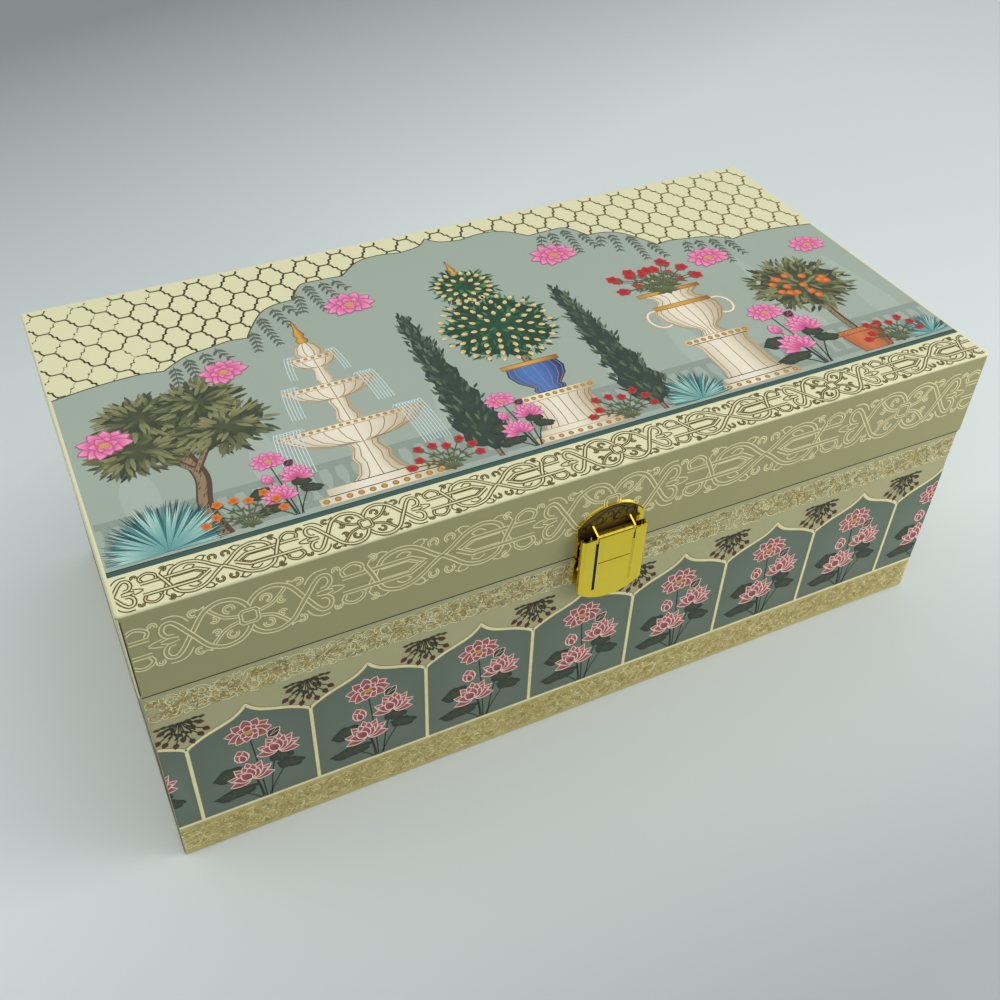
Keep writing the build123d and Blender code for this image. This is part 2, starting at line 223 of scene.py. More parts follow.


# %% [markdown]
# A floor and a background sheet are one plane here: large, pale and matt. The light is that of
# a soft box overhead, a window on the right and a pale reflector close to the right front
# corner, so there is hardly any shadow, and the front of the box grows lighter to the right.
# A pale wall on the left lights the shadow there. The sheet carries painted shade: its colour is
# painted a little darker far behind and close in front. The room itself is dim and the foil mirrors
# it, but the dark gold of the foil on the top and the pale gold of the same foil on the front are
# painted into the foil's colours.

# %% Floor and light
ROOM_LIGHT = 0.42
FLOOR_SIZE = 3.0


def lamp(name, where, aim, size, watts, tint):
    """A round lamp that faces a point, with its place and size in metres."""
    light = bpy.data.lights.new(name, "AREA")
    light.shape = "DISK"
    light.size = size
    light.energy = watts
    light.color = tint
    facing = (Vector(aim) - Vector(where)).to_track_quat("-Z", "Y").to_matrix().to_4x4()
    put_in_scene(name, light).matrix_world = Matrix.Translation(Vector(where)) @ facing


table = Finish("floor_sheet")
grain = clouds(table, 0.0025, 3.0)
patches = clouds(table, 0.4, 1.0)
# Painted shade: the sheet's colour is painted darker far behind and close in front.
shade_away = steps(table, axis(table, "Y") - axis(table, "X") * 0.45, 0.2, 0.62)
shade_near = steps(table, axis(table, "X") * 0.08 - axis(table, "Y"), 0.055, 0.19)
near_colour = mixed(table, patches, linear(210, 218, 218), linear(217, 225, 225))
near_colour = mixed(table, shade_near, near_colour, linear(166, 174, 176))
table_colour = mixed(table, shade_away, near_colour, linear(146, 152, 154))
table.surface(
    Base_Color=table_colour, Roughness=0.75 + 0.1 * grain, Normal=relief(table, grain, 0.00003)
)
floor_mesh = bpy.data.meshes.new("floor")
half = FLOOR_SIZE / 2
floor_mesh.from_pydata(
    [(-half, -half, 0), (half, -half, 0), (half, half, 0), (-half, half, 0)], [], [(0, 1, 2, 3)]
)
floor_mesh.materials.append(table.material)
floor = put_in_scene("floor", floor_mesh)

room = bpy.data.worlds.new("room")
bpy.context.scene.world = room
room.use_nodes = True
background = room.node_tree.nodes["Background"].inputs
background["Color"].default_value = (0.93, 0.98, 1.0, 1.0)
background["Strength"].default_value = ROOM_LIGHT
lamp("softbox", (0.08, -0.2, 1.25), (0.0, -0.05, 0.0), 1.9, 8.9, (1.0, 0.99, 0.97))
lamp("window", (1.25, -0.35, 0.8), (0.1, 0.0, 0.05), 0.9, 3.4, (1.0, 0.98, 0.93))
lamp("wall", (-0.9, 0.3, 0.7), (-0.1, 0.05, 0.0), 0.9, 2.2, (0.97, 1.0, 1.0))
lamp("reflector", (0.4, -0.36, 0.2), (0.1, -0.07, 0.04), 0.3, 0.84, (1.0, 0.98, 0.92))
bpy.context.scene.view_settings.view_transform = "Standard"

# %% [markdown]
# The sheet is matt printed paper. It is never one even colour: the ink is a little cloudy, and
# fine fibres show in raking light. The same recipe serves every printed colour. The lid's sheet
# is olive on its sides and turns to cream along its upper edges.

# %% Paper finishes
FIBRE_SIZE = 0.0006
FIBRE_DEPTH = 0.00001


def paper(finish, colour, roughness=0.62):
    """Gives a finish the look of matt paper in a colour or a pattern of colours."""
    cloud = clouds(finish, 0.02, 3.0)
    fibre = clouds(finish, FIBRE_SIZE, 4.0)
    shade = 0.955 + 0.05 * cloud + 0.04 * fibre
    grey = finish.node("ShaderNodeCombineColor", {}, {0: shade, 1: shade, 2: shade})
    return finish.surface(
        Base_Color=mixed(finish, 1.0, colour, grey, "MULTIPLY"),
        Roughness=roughness - 0.06 + 0.12 * fibre,
        Normal=relief(finish, fibre, FIBRE_DEPTH),
    )


CREAM = linear(222, 219, 178)
OLIVE = linear(160, 156, 111)
SAGE = linear(176, 172, 130)
EDGE_LOW, EDGE_HIGH = 0.1012, 0.1017
lid_print = Finish("lid_sheet_print")
upward = steps(lid_print, axis(lid_print, "Z"), EDGE_LOW, EDGE_HIGH)
lid_paper = paper(lid_print, mixed(lid_print, upward, OLIVE, CREAM))
base_paper = paper(Finish("base_wrap_print"), SAGE)
plain_paper = paper(Finish("cream_paper"), CREAM)
lining_paper = paper(Finish("ivory_lining"), linear(228, 221, 196))
inks = Finish("printed_inks")
ink_paper = paper(inks, ink_laid(inks), 0.6)
papers = (lid_paper, base_paper, plain_paper, lining_paper, ink_paper)
print("paper finishes", [made.name for made in papers])

# %% [markdown]
# Foil is metal, so it is darker or lighter than the paper by what it mirrors. That is also
# painted into its colours: the one foil is given a painted pale colour on the upright faces and a
# painted dark colour on the top. A little roughness and a shallow unevenness keep it from looking
# like a painted line.

# %% Foil and brass finishes
METAL_DEPTH = 0.000004


def metal(finish, colour, roughness, grain_size=0.004, pure=1.0):
    """Gives a finish the look of bright metal in a colour or a pattern of colours."""
    cloud = clouds(finish, grain_size, 3.0)
    fine = clouds(finish, grain_size / 8, 2.0)
    return finish.surface(
        Base_Color=colour,
        Metallic=pure,
        Roughness=roughness + 0.08 * fine,
        Normal=relief(finish, cloud + fine * 0.3, METAL_DEPTH),
    )


def cloudy(finish, first, second, size):
    """Two close shades of one colour in soft patches."""
    return mixed(finish, clouds(finish, size, 3.0), linear(*first), linear(*second))


FOIL_PURITY = 0.34
PAINTED_REFLECTION_PURITY = 0.7
foil = Finish("gold_foil")
foil_shade = cloudy(foil, (255, 255, 255), (226, 222, 212), 0.004)
foil_colour = mixed(foil, 1.0, ink_laid(foil), foil_shade, "MULTIPLY")
gold_foil = metal(foil, foil_colour, 0.3, pure=FOIL_PURITY)
bright = Finish("polished_brass")
brass = metal(bright, cloudy(bright, (252, 228, 78), (248, 216, 66), 0.012), 0.045, 0.012)
brushed = Finish("brushed_brass")
hinge_brass = metal(brushed, cloudy(brushed, (214, 182, 96), (196, 160, 82), 0.004), 0.24)
# One foil in two colours: painted light on the upright faces, a painted dark reflection on the top.
GOLD_PAINTED_PALE = linear(255, 246, 196)
TOP_GOLD_PAINTED_DARK = linear(112, 98, 48)

board_wood = Finish("fibreboard")
speck = clouds(board_wood, 0.0012, 5.0)
board_colour = mixed(board_wood, speck, linear(170, 134, 92), linear(206, 172, 126))
board_wood.surface(
    Base_Color=board_colour, Roughness=0.8 + 0.1 * speck, Normal=relief(board_wood, speck, 0.00005)
)

finish_of_slot = {
    "board": board_wood.material,
    "base_print": base_paper,
    "lid_print": lid_paper,
    "plain_paper": plain_paper,
    "lining": lining_paper,
    "brass": brass,
    "hinge_brass": hinge_brass,
}


def dress(piece, finish):
    """Puts one finish into every material slot of a piece."""
    if not piece.material_slots:
        piece.data.materials.append(finish)
    for material_slot in piece.material_slots:
        material_slot.material = finish


for row in frame["record"]["subparts"]:
    dress(parts[row["node"]], finish_of_slot[row["material_slot"]])

# %% [markdown]
# The lid's top is the highest face of the box, and the print has to lie on it without making
# the box any taller. So the lid's sheet is copied with its upper surface a fifth of a
# millimetre lower, and the copy stands for the solid sheet.

# %% Lid sheet with room for its print
SHEET_UNDER = 0.1021
PRINT_TOP = 0.1022
thinner = (PRINT_TOP - SHEET_UNDER) / (solid_box[1].z - SHEET_UNDER)
lid_sheet = put_in_scene("lid_printed_sheet", parts["lid_main_sheet"].data.copy())
for vertex in lid_sheet.data.vertices:
    if vertex.co.z > SHEET_UNDER:
        vertex.co.z = SHEET_UNDER + (vertex.co.z - SHEET_UNDER) * thinner
dress(lid_sheet, lid_paper)
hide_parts("lid_main_sheet")
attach(lid_sheet, "lid")
print("lid sheet top", round(max(v.co.z for v in lid_sheet.data.vertices), 6))

# %% [markdown]
# Each printed face of the box is flat, so its print can be drawn in two dimensions, across and
# up, and then stood on the face. A drawing is made of two things: filled outlines, and lines
# of a given width. Inks overlap, so each shape says how high it lies, in layers of a hundredth
# of a millimetre, and no two that overlap lie at one height.

# %% Faces and drawings
LAYER = 0.01
SMALLEST = 0.0004
TOO_CLOSE = 0.01
LID_FRONT_Y, BASE_FRONT_Y, BACK_Y, BASE_SIDE_X = -0.06915, -0.06875, 0.06875, 0.132


class Face:
    """A flat face of the box, with directions across, up and out."""

    def __init__(self, middle, across, up):
        self.middle = Vector(middle)
        self.across = Vector(across)
        self.up = Vector(up)
        self.out = self.across.cross(self.up)

    def point(self, u, v, layer):
        """Where a place on the drawing lies on the box, in metres."""
        flat = self.across * u + self.up * v + self.out * (layer * LAYER)
        return self.middle + flat * MM


X, Y, Z = Vector((1, 0, 0)), Vector((0, 1, 0)), Vector((0, 0, 1))
lid_top = Face((0, 0, PRINT_TOP), X, Y)
lid_front = Face((0, LID_FRONT_Y, 0), X, Z)
lid_back = Face((0, BACK_Y, 0), -X, Z)
base_front = Face((0, BASE_FRONT_Y, 0), X, Z)
base_back = Face((0, BACK_Y, 0), -X, Z)
base_left = Face((-BASE_SIDE_X, 0, 0), -Y, Z)
base_right = Face((BASE_SIDE_X, 0, 0), Y, Z)


class Drawing:
    """Shapes in ink, in foil or in painted light and shade on one body, gathered into one thin
    piece.
    """

    def __init__(self, face, limit=1000.0):
        self.face, self.limit = face, limit
        self.points, self.faces, self.colours = [], [], []

    def on(self, face, limit=1000.0):
        """Goes on with another face of the box, whose print ends at a limit left and right."""
        self.face, self.limit = face, limit
        return self

    def add(self, flat, faces, layer, colours):
        """Adds corners and faces, cut off at the limit, and leaves out faces with no area."""
        flat = [(min(max(u, -self.limit), self.limit), v) for u, v in flat]
        kept = [corners for corners in faces if abs(area([flat[i] for i in corners])) > SMALLEST]
        if not kept:
            return
        used = sorted({i for corners in kept for i in corners})
        number = {old: len(self.points) + new for new, old in enumerate(used)}
        self.points += [self.face.point(*flat[i], layer) for i in used]
        self.colours += [colours[i] for i in used]
        self.faces += [[number[i] for i in corners] for corners in kept]

    def fill(self, outline, layer, colour):
        """A filled outline, given anticlockwise or clockwise."""
        if area(outline) < 0:
            outline = outline[::-1]
        self.add(outline, [list(range(len(outline)))], layer, [colour] * len(outline))

    def shade(self, outline, heart, layer, rim_colour, heart_colour):
        """A filled outline whose colour goes from its rim to a point inside it."""
        if area(outline) < 0:
            outline = outline[::-1]
        count = len(outline)
        fans = [[i, (i + 1) % count, count] for i in range(count)]
        rim = [rim_colour(*p) if callable(rim_colour) else rim_colour for p in outline]
        self.add([*outline, heart], fans, layer, [*rim, heart_colour])

    def line(self, path, width, layer, colour, closed=False):
        """A line of a given width along a path."""
        path = [p for i, p in enumerate(path) if i == 0 or math.dist(p, path[i - 1]) > TOO_CLOSE]
        count = len(path)
        if count < 2:
            return
        left, right = [], []
        for i, (u, v) in enumerate(path):
            before = path[i - 1] if i or closed else path[i]
            after = path[(i + 1) % count] if i + 1 < count or closed else path[i]
            du, dv = after[0] - before[0], after[1] - before[1]
            length = math.hypot(du, dv) or 1.0
            half_width = width / 2
            nu, nv = -dv / length * half_width, du / length * half_width
            left.append((u + nu, v + nv))
            right.append((u - nu, v - nv))
        ends = [(i, (i + 1) % count) for i in range(count if closed else count - 1)]
        quads = [[count + i, count + j, j, i] for i, j in ends]
        self.add(left + right, quads, layer, [colour] * (2 * count))

    def piece(self, name, body, finish, slot):
        """Makes the drawing a piece of the model that rides on a body."""
        mesh = bpy.data.meshes.new(name)
        mesh.from_pydata([tuple(p) for p in self.points], [], self.faces)
        ink = mesh.color_attributes.new("ink", "FLOAT_COLOR", "POINT")
        for i, colour in enumerate(self.colours):
            ink.data[i].color = colour
        mesh.materials.append(finish)
        made = put_in_scene(name, mesh)
        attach(made, body)
        print(name, "faces", len(self.faces))


def area(outline):
    """Twice the area of an outline, above zero if it runs anticlockwise."""
    pairs = zip(outline, outline[1:] + outline[:1])
    return sum((u0 * v1 - u1 * v0 for (u0, v0), (u1, v1) in pairs), 0.0)


def grid(rows, columns):
    """The faces of a grid whose corners are numbered row by row."""
    across = columns + 1
    lows = [row * across + k for row in range(rows) for k in range(columns)]
    return [[low, low + 1, low + across + 1, low + across] for low in lows]


def smooth(points, pieces=4, closed=False):
    """A smooth curve through a few points."""
    count = len(points)
    curve = []
    for i in range(count if closed else count - 1):
        near = [i - 1, i, i + 1, i + 2]
        near = [k % count if closed else min(max(k, 0), count - 1) for k in near]
        corners = list(zip(*(points[k] for k in near)))
        for step in range(pieces):
            t = step / pieces
            curve.append(tuple(
                0.5 * (2 * b + (c - a) * t + (2 * a - 5 * b + 4 * c - d) * t * t
                       + (3 * b - a - 3 * c + d) * t ** 3)
                for a, b, c, d in corners
            ))
    if not closed:
        curve.append(tuple(points[-1]))
    return curve


def moved(points, u=0.0, v=0.0, size=1.0, turn=0.0, flip_u=False, flip_v=False):
    """Points mirrored, turned by degrees, scaled and then moved."""
    cos, sin = math.cos(math.radians(turn)), math.sin(math.radians(turn))
    placed = []
    for a, b in points:
        a, b = (-a if flip_u else a) * size, (-b if flip_v else b) * size
        placed.append((u + a * cos - b * sin, v + a * sin + b * cos))
    return placed


def arc(u, v, radius, start, end, pieces=10, squeeze=1.0):
    """Part of a circle or of an upright oval, between two angles in degrees."""
    path = []
    for i in range(pieces + 1):
        angle = math.radians(start + (end - start) * i / pieces)
        path.append((u + radius * math.cos(angle), v + radius * squeeze * math.sin(angle)))
    return path


def offset(path, distance):
    """A path moved sideways."""
    shifted = []
    for i, (u, v) in enumerate(path):
        before, after = path[max(i - 1, 0)], path[min(i + 1, len(path) - 1)]
        du, dv = after[0] - before[0], after[1] - before[1]
        length = math.hypot(du, dv) or 1.0
        shifted.append((u - dv / length * distance, v + du / length * distance))
    return shifted


# %% [markdown]
# The foil bands are a traditional strapwork: two flat straps that leave a small knot, cross,
# and end in a long pointed cartouche with curls round it. Only a quarter of the pattern has to
# be drawn, since it mirrors left to right and top to bottom. A strap is a strip in the
# colour of the ground with a foil line along each edge, so it hides what runs under it.

# %% Strapwork quarter
UNIT = 51.2
STRAP = 1.15
STRAP_LAYER, STRAP_LIFT = 4.2, 0.4
INNER_LINE = 0.62
THREAD = 0.04
BORDER_SIZE = 0.56
BORDER_LAYERS = 170
HOOK_LAYERS = 150
MIRRORS = [{"flip_u": side < 0, "flip_v": up < 0} for side in (1, -1) for up in (1, -1)]
upper_loop = [(0, 3.4), (1.1, 5.4), (3.1, 7.2), (5.8, 7.9), (8.1, 7.5), (10.5, 6.0), (12.2, 3.6),
              (13.7, 1.0), (15.5, -1.9), (17.0, -4.4), (18.7, -6.0), (20.4, -5.4), (20.9, -3.4),
              (20.0, -1.7), (18.3, -1.3)]
arm = [(2.9, 0.6), (6, 1.6), (8.5, 4.0), (10.3, 6.6), (10.1, 8.0)]
triangle_loop = [(16.3, 3.9), (17.6, 6.4), (20.0, 6.6), (21.2, 4.4), (20.4, 1.9), (18.4, 1.2)]
lobe = [(24.3, 3.2), (23.6, 5.0), (24.6, 6.5), (27.0, 7.4), (29.4, 6.2), (30.2, 4.2), (29.4, 3.2)]
cartouche = [(24.0, 2.7), (30.0, 2.7), (37.0, 2.7), (42.6, 2.7), (46.8, 0.0)]
inner_point = [(34.4, 1.7), (41.7, 1.7), (44.6, 0.0)]
wave = [(30.3, -4.9), (32.2, -0.7), (33.7, 3.1), (35.4, 5.6), (38.9, 7.0), (42.8, 6.4),
        (45.9, 4.4), (48.1, 2.3), (50.9, 0.0)]
curls = [
    arc(4.6, 4.4, 1.5, -90, 200, 12), arc(8.3, 2.2, 1.1, 60, 350, 10),
    arc(13.0, 6.6, 1.3, -120, 150, 10), arc(48.9, 5.6, 1.5, -60, 230, 12),
    arc(22.6, 6.4, 1.1, -30, 220, 9), arc(32.4, 7.0, 1.2, -100, 160, 10),
    smooth([(30.9, 5.0), (32.0, 6.6), (34.4, 7.9), (36.4, 7.2)]),
    smooth([(10.1, 8.0), (11.6, 7.2), (12.8, 7.9)]),
    smooth([(14.4, 4.6), (15.6, 6.6), (17.6, 7.9), (20.4, 7.9)]),
    smooth([(43.4, 7.4), (45.4, 8.1), (47.4, 7.2)]),
    smooth([(44.8, 5.2), (46.4, 6.8), (46.0, 8.2)]),
    smooth([(17.2, 0.4), (19.4, 0.9), (21.6, 0.3)]),
    smooth([(21.2, 1.3), (23.0, 0.9), (24.6, 0.2)]),
    smooth([(38.6, 4.2), (40.4, 5.4), (42.6, 4.6), (41.6, 3.6)]),
]


def strapwork(foil, ground, middle_u, middle_v, size, line, ground_colour, gold):
    """One unit of strapwork round a knot, in foil and in the colour of the ground."""
    thread = 0
    straps = []
    singles = curls + [offset(curl, INNER_LINE) for curl in curls[:6]]
    singles += [smooth(arm), smooth(lobe), inner_point]
    singles += [offset(smooth(arm), 0.8), offset(smooth(lobe), -0.9)]
    for flips in MIRRORS:
        straps += [(smooth(upper_loop), flips), (smooth(wave), flips), (cartouche, flips)]
        for path in singles:
            placed = moved(path, middle_u, middle_v, size, **flips)
            foil.line(placed, line, 1 + thread * THREAD, gold)
            thread += 1
    for knot in (1.75, 2.55):
        square = [(knot, knot * 0.7), (knot * 0.7, knot), (-knot * 0.7, knot), (-knot, knot * 0.7)]
        square += [(-a, -b) for a, b in square]
        foil.line(moved(square, middle_u, middle_v, size), line, 1 + thread * THREAD, gold, True)
        thread += 1
    for number, (path, flips) in enumerate(straps):
        placed = moved(path, middle_u, middle_v, size, **flips)
        layer = STRAP_LAYER + number * STRAP_LIFT
        ground.line(placed, STRAP * size, layer, ground_colour)
        for edge in (-0.5, 0.5):
            foil.line(offset(placed, edge * STRAP * size), line, layer + 0.2 + edge * 0.1, gold)


# %% [markdown]
# Three units of strapwork fill the front of the lid, and three the back. At the left end of the
# front the main sheet stops at an open joint, which is a thin dark line with the pale edge of
# the side's own sheet beside it.

# %% Lid front and back bands
LID_BAND_MIDDLE = 89.3
LID_LIMIT = 131.3
JOINT_U = -131.72
SIDE_EDGE_U = -132.1
lid_foil = Drawing(lid_front)
lid_ground = Drawing(lid_front)
for face in (lid_front, lid_back):
    lid_foil.on(face, LID_LIMIT)
    lid_ground.on(face, LID_LIMIT)
    for knot_u in (-2 * UNIT, 0.0, 2 * UNIT):
        # The foil of the front and back bands carries painted light: it is given a pale colour.
        strapwork(lid_foil, lid_ground, knot_u, LID_BAND_MIDDLE, 1.0, 0.4, OLIVE, GOLD_PAINTED_PALE)

lid_ground.on(lid_front)
joint = [(JOINT_U, 73.4), (JOINT_U, 86.0), (JOINT_U, 100.2)]
lid_ground.line(joint, 0.34, 1.0, linear(46, 42, 26))
side_edge = [(SIDE_EDGE_U, 72.7), (SIDE_EDGE_U, 86.0), (SIDE_EDGE_U, 101.2)]
lid_ground.line(side_edge, 0.4, 1.2, CREAM)
lid_foil.piece("lid_foil_bands", "lid", gold_foil, "lid_print")
lid_ground.piece("lid_band_straps", "lid", ink_paper, "lid_print")

# %% [markdown]
# Petals and leaves are the brush strokes of this print. A petal is a pointed oval that goes from
# a deep colour at its root to a pale one at its tip, with a fine pale line round it. A flat
# colour would look like a cut-out, so the colour is given to each corner and spreads between.

# %% Petals, leaves and flowers
PETAL_STEPS = 5
BELLY = 0.8


def tone(colour, other, share):
    """A colour part of the way from one to another."""
    return tuple(a + (b - a) * share for a, b in zip(colour, other))


def pointed_oval(length, width):
    """A petal's outline, from its root at (0, 0) to its tip and back."""
    side = []
    for i in range(1, PETAL_STEPS):
        t = i / PETAL_STEPS
        side.append((t * length, width / 2 * math.sin(math.pi * t ** BELLY) ** BELLY))
    return [(0, 0)] + [(u, -v) for u, v in side] + [(length, 0)] + side[::-1]


def petal(draw, u, v, angle, length, width, layer, root, tip, rim=None, rim_width=0.3):
    """A petal or a leaf, turned by degrees, with a fine rim if it has a colour for one."""
    outline = moved(pointed_oval(length, width), u, v, 1.0, angle)
    reach = math.hypot(length, width / 2)

    def colour(a, b):
        return tone(root, tip, min(1.0, math.hypot(a - u, b - v) / reach) ** 1.3)

    heart = moved([(length * 0.45, 0)], u, v, 1.0, angle)[0]
    draw.shade(outline, heart, layer, colour, tone(root, tip, 0.25))
    if rim:
        draw.line(outline, rim_width, layer + 0.1, rim, True)


PINKS = (linear(134, 50, 62), linear(186, 104, 112), linear(244, 210, 196))
BRIGHT_PINKS = (linear(204, 48, 120), linear(248, 172, 206), linear(196, 84, 138))
SEED = linear(214, 176, 76)
LEAF_DARK = linear(40, 50, 42)
LEAF_OLIVE = linear(78, 86, 54)
LEAF_PALE = linear(112, 118, 78)
SEEN_FROM_ABOVE = 0.78
STROKE_LIFT = 0.011


def open_lotus(draw, u, v, size, layer, pinks, turn):
    """A lotus seen from a little above, with two rings of petals round its seeds."""
    root, tip, rim = pinks
    back = [(angle, 0.16, 0.84) for angle in (14, 166, 50, 130, 90)]
    sides = [(angle, 0.1, 0.9) for angle in (-14, 194, -40, 220)]
    front = [(angle, 0.12, 0.68) for angle in (-70, 250)]
    heart = [(angle, 0.02, 0.52) for angle in (34, 146, 90)]
    heart += [(angle, 0.06, 0.42) for angle in (-30, 210, 270)]
    for number, (angle, away, reach) in enumerate(back + sides + front + heart):
        way = math.radians(angle + turn)
        flat = 1 - (1 - SEEN_FROM_ABOVE) * abs(math.sin(way))
        a, b = u + size * away * math.cos(way), v + size * away * math.sin(way) * SEEN_FROM_ABOVE
        petal(draw, a, b, angle + turn, size * reach * flat, size * 0.52 * reach ** 0.5,
              layer + number * 0.21, root, tip, rim, size * 0.05)
    draw.shade(arc(u, v - size * 0.04, size * 0.2, 0, 330, 9, 0.7), (u, v), layer + 4.9,
               tone(SEED, root, 0.3), SEED)
    for k in range(5):
        low = (u + size * (k - 2) * 0.07, v - size * 0.1)
        high = (u + size * (k - 2) * 0.09, v + size * 0.02)
        draw.line([low, high], size * 0.025, layer + 5.0, tone(SEED, LEAF_DARK, 0.5))


def side_lotus(draw, u, v, size, layer, pinks, turn):
    """A lotus seen from the side, with three fans of petals one before the other."""
    root, tip, rim = pinks
    rows = ((-6, 186, 7, 1.0), (22, 158, 6, 0.84), (52, 128, 3, 0.66))
    for row, (low, high, count, reach) in enumerate(rows):
        for i in range(count):
            share = i / (count - 1)
            angle = turn + low + (high - low) * share
            length = size * reach * (0.86 + 0.14 * math.sin(math.pi * share))
            petal(draw, u, v, angle, length, size * 0.4, layer + (row * 7 + i) * 0.21,
                  root, tip, rim, size * 0.05)


def bud(draw, u, v, size, layer, pinks, angle):
    """A closed lotus of four petals."""
    root, tip, rim = pinks
    petals = ((0, 1.0, 0.74), (20, 0.8, 0.42), (-18, 0.84, 0.42), (2, 0.62, 0.36))
    for number, (lean, reach, wide) in enumerate(petals):
        petal(draw, u, v, angle + lean, size * reach, size * wide, layer + number * 0.2,
              root, tip, rim, size * 0.06)


def pad_leaf(draw, u, v, width, height, layer, turn):
    """A broad water leaf with a wavy rim and radiating veins."""
    rim = []
    for i in range(22):
        angle = 2 * math.pi * i / 22
        wave = 1 + 0.1 * math.sin(angle * 5) + 0.05 * math.sin(angle * 9 + 1)
        rim.append((width / 2 * wave * math.cos(angle), height / 2 * wave * math.sin(angle)))
    outline = moved(rim, u, v, 1.0, turn)
    draw.shade(outline, (u, v), layer, LEAF_DARK, tone(LEAF_DARK, LEAF_OLIVE, 0.45))
    for i in range(0, 22, 3):
        vein = moved([(0, 0), (rim[i][0] * 0.86, rim[i][1] * 0.86)], u, v, 1.0, turn)
        draw.line(vein, width * 0.02, layer + 0.1, tone(LEAF_DARK, LEAF_PALE, 0.3))


def spray(draw, path, leaf_length, count, layer, dark, light, spread=48):
    """A stem with leaves on both sides."""
    curve = smooth(path, 6)
    draw.line(curve, 0.3, layer, dark)
    for i in range(count):
        at = (i + 0.6) / count * (len(curve) - 2)
        near = int(at)
        (u0, v0), (u1, v1) = curve[near], curve[near + 1]
        u, v = u0 + (u1 - u0) * (at - near), v0 + (v1 - v0) * (at - near)
        way = math.degrees(math.atan2(v1 - v0, u1 - u0))
        size = leaf_length * (1 - 0.35 * i / count)
        for side in (-1, 1):
            lift = layer + 0.1 + STROKE_LIFT * (2 * i + side)
            petal(draw, u, v, way + side * spread, size, size * 0.34, lift, dark, light)


# %% [markdown]
# The base is wrapped in one band of print. Its lower edge is a gold border, and above it stands
# a row of niches: a slender pillar between each two, and a pointed arch from pillar to pillar.
# A lotus plant grows in each niche, and a small fan of leaves and berries hangs over each
# pillar. One function draws a whole side of the box, so all four sides match.

# %% Arcade of the base
PITCH = 34.2
FIRST_PILLAR = -124.6
BAND_TOP = 14.1
PILLAR_TOP = 46.1
SPRIG_TOP = 58.5
BASE_PAPER_LOW = 0.4
left_arch = smooth([(-17.1, 46.1), (-15.3, 47.6), (-11.2, 49.8), (-7.1, 51.4), (-3.8, 52.9),
                    (-1.5, 54.7), (0.0, 56.6)])
arch_line = left_arch + [(-u, v) for u, v in left_arch[-2::-1]]
sprig_leaves = ((0.9, 58.1, 4, 2.6), (3.0, 58.4, -3, 2.4), (4.9, 58.0, 6, 1.9),
                (1.7, 57.3, -8, 2.0), (3.4, 57.0, -14, 1.8), (1.4, 56.2, -38, 1.7),
                (2.5, 55.6, -30, 1.7), (0.9, 54.4, -66, 1.7))
sprig_berries = ((-6.3, 52.9), (-4.6, 51.5), (-2.1, 49.7), (0, 51.4), (2.1, 49.7), (4.5, 51.5),
                 (6.1, 52.9), (-4.8, 56.3), (4.8, 56.3))
NICHE = linear(108, 122, 108)
NICHE_DEEP = linear(98, 112, 98)
BAND = linear(190, 176, 112)
RIM_GOLD_PAINTED_SHADE = linear(168, 150, 88)
FOIL_EDGE_PAINTED_SHADE = linear(136, 122, 80)
BERRY = linear(116, 46, 38)
SPRIG_LEAF = linear(54, 44, 26)
chance = random.Random(11)
base_ink = Drawing(base_front)
base_foil = Drawing(base_front)


def sprig(draw, u):
    """The fan of leaves and berries that hangs over a pillar."""
    lift = 5.0
    pale = tone(SPRIG_LEAF, LEAF_OLIVE, 0.6)
    for side in (-1, 1):
        for a, b, way, length in sprig_leaves:
            lift += 0.02
            angle = way if side > 0 else 180 - way
            petal(draw, u + side * a, b, angle, length, 1.05, lift, SPRIG_LEAF, pale)
    for a, b in sprig_berries:
        lift += 0.05
        bend = (u + a * 0.36, SPRIG_TOP + (b - SPRIG_TOP) * 0.5)
        stem = smooth([(u + a * 0.1, SPRIG_TOP), bend, (u + a, b)], 4)
        draw.line(stem, 0.34, lift, SPRIG_LEAF)
        way = math.degrees(math.atan2(b - SPRIG_TOP, a or 0.01))
        root = moved([(-0.9, 0)], u + a, b, 1.0, way)[0]
        petal(draw, *root, way, 2.5, 1.75, lift + 0.01, SPRIG_LEAF, BERRY)
        for share, turn_by in ((0.55, 34), (0.72, -34)):
            at_u, at_v = stem[int(share * (len(stem) - 1))]
            petal(draw, at_u, at_v, way + turn_by, 1.6, 0.75, lift + 0.02, SPRIG_LEAF, SPRIG_LEAF)


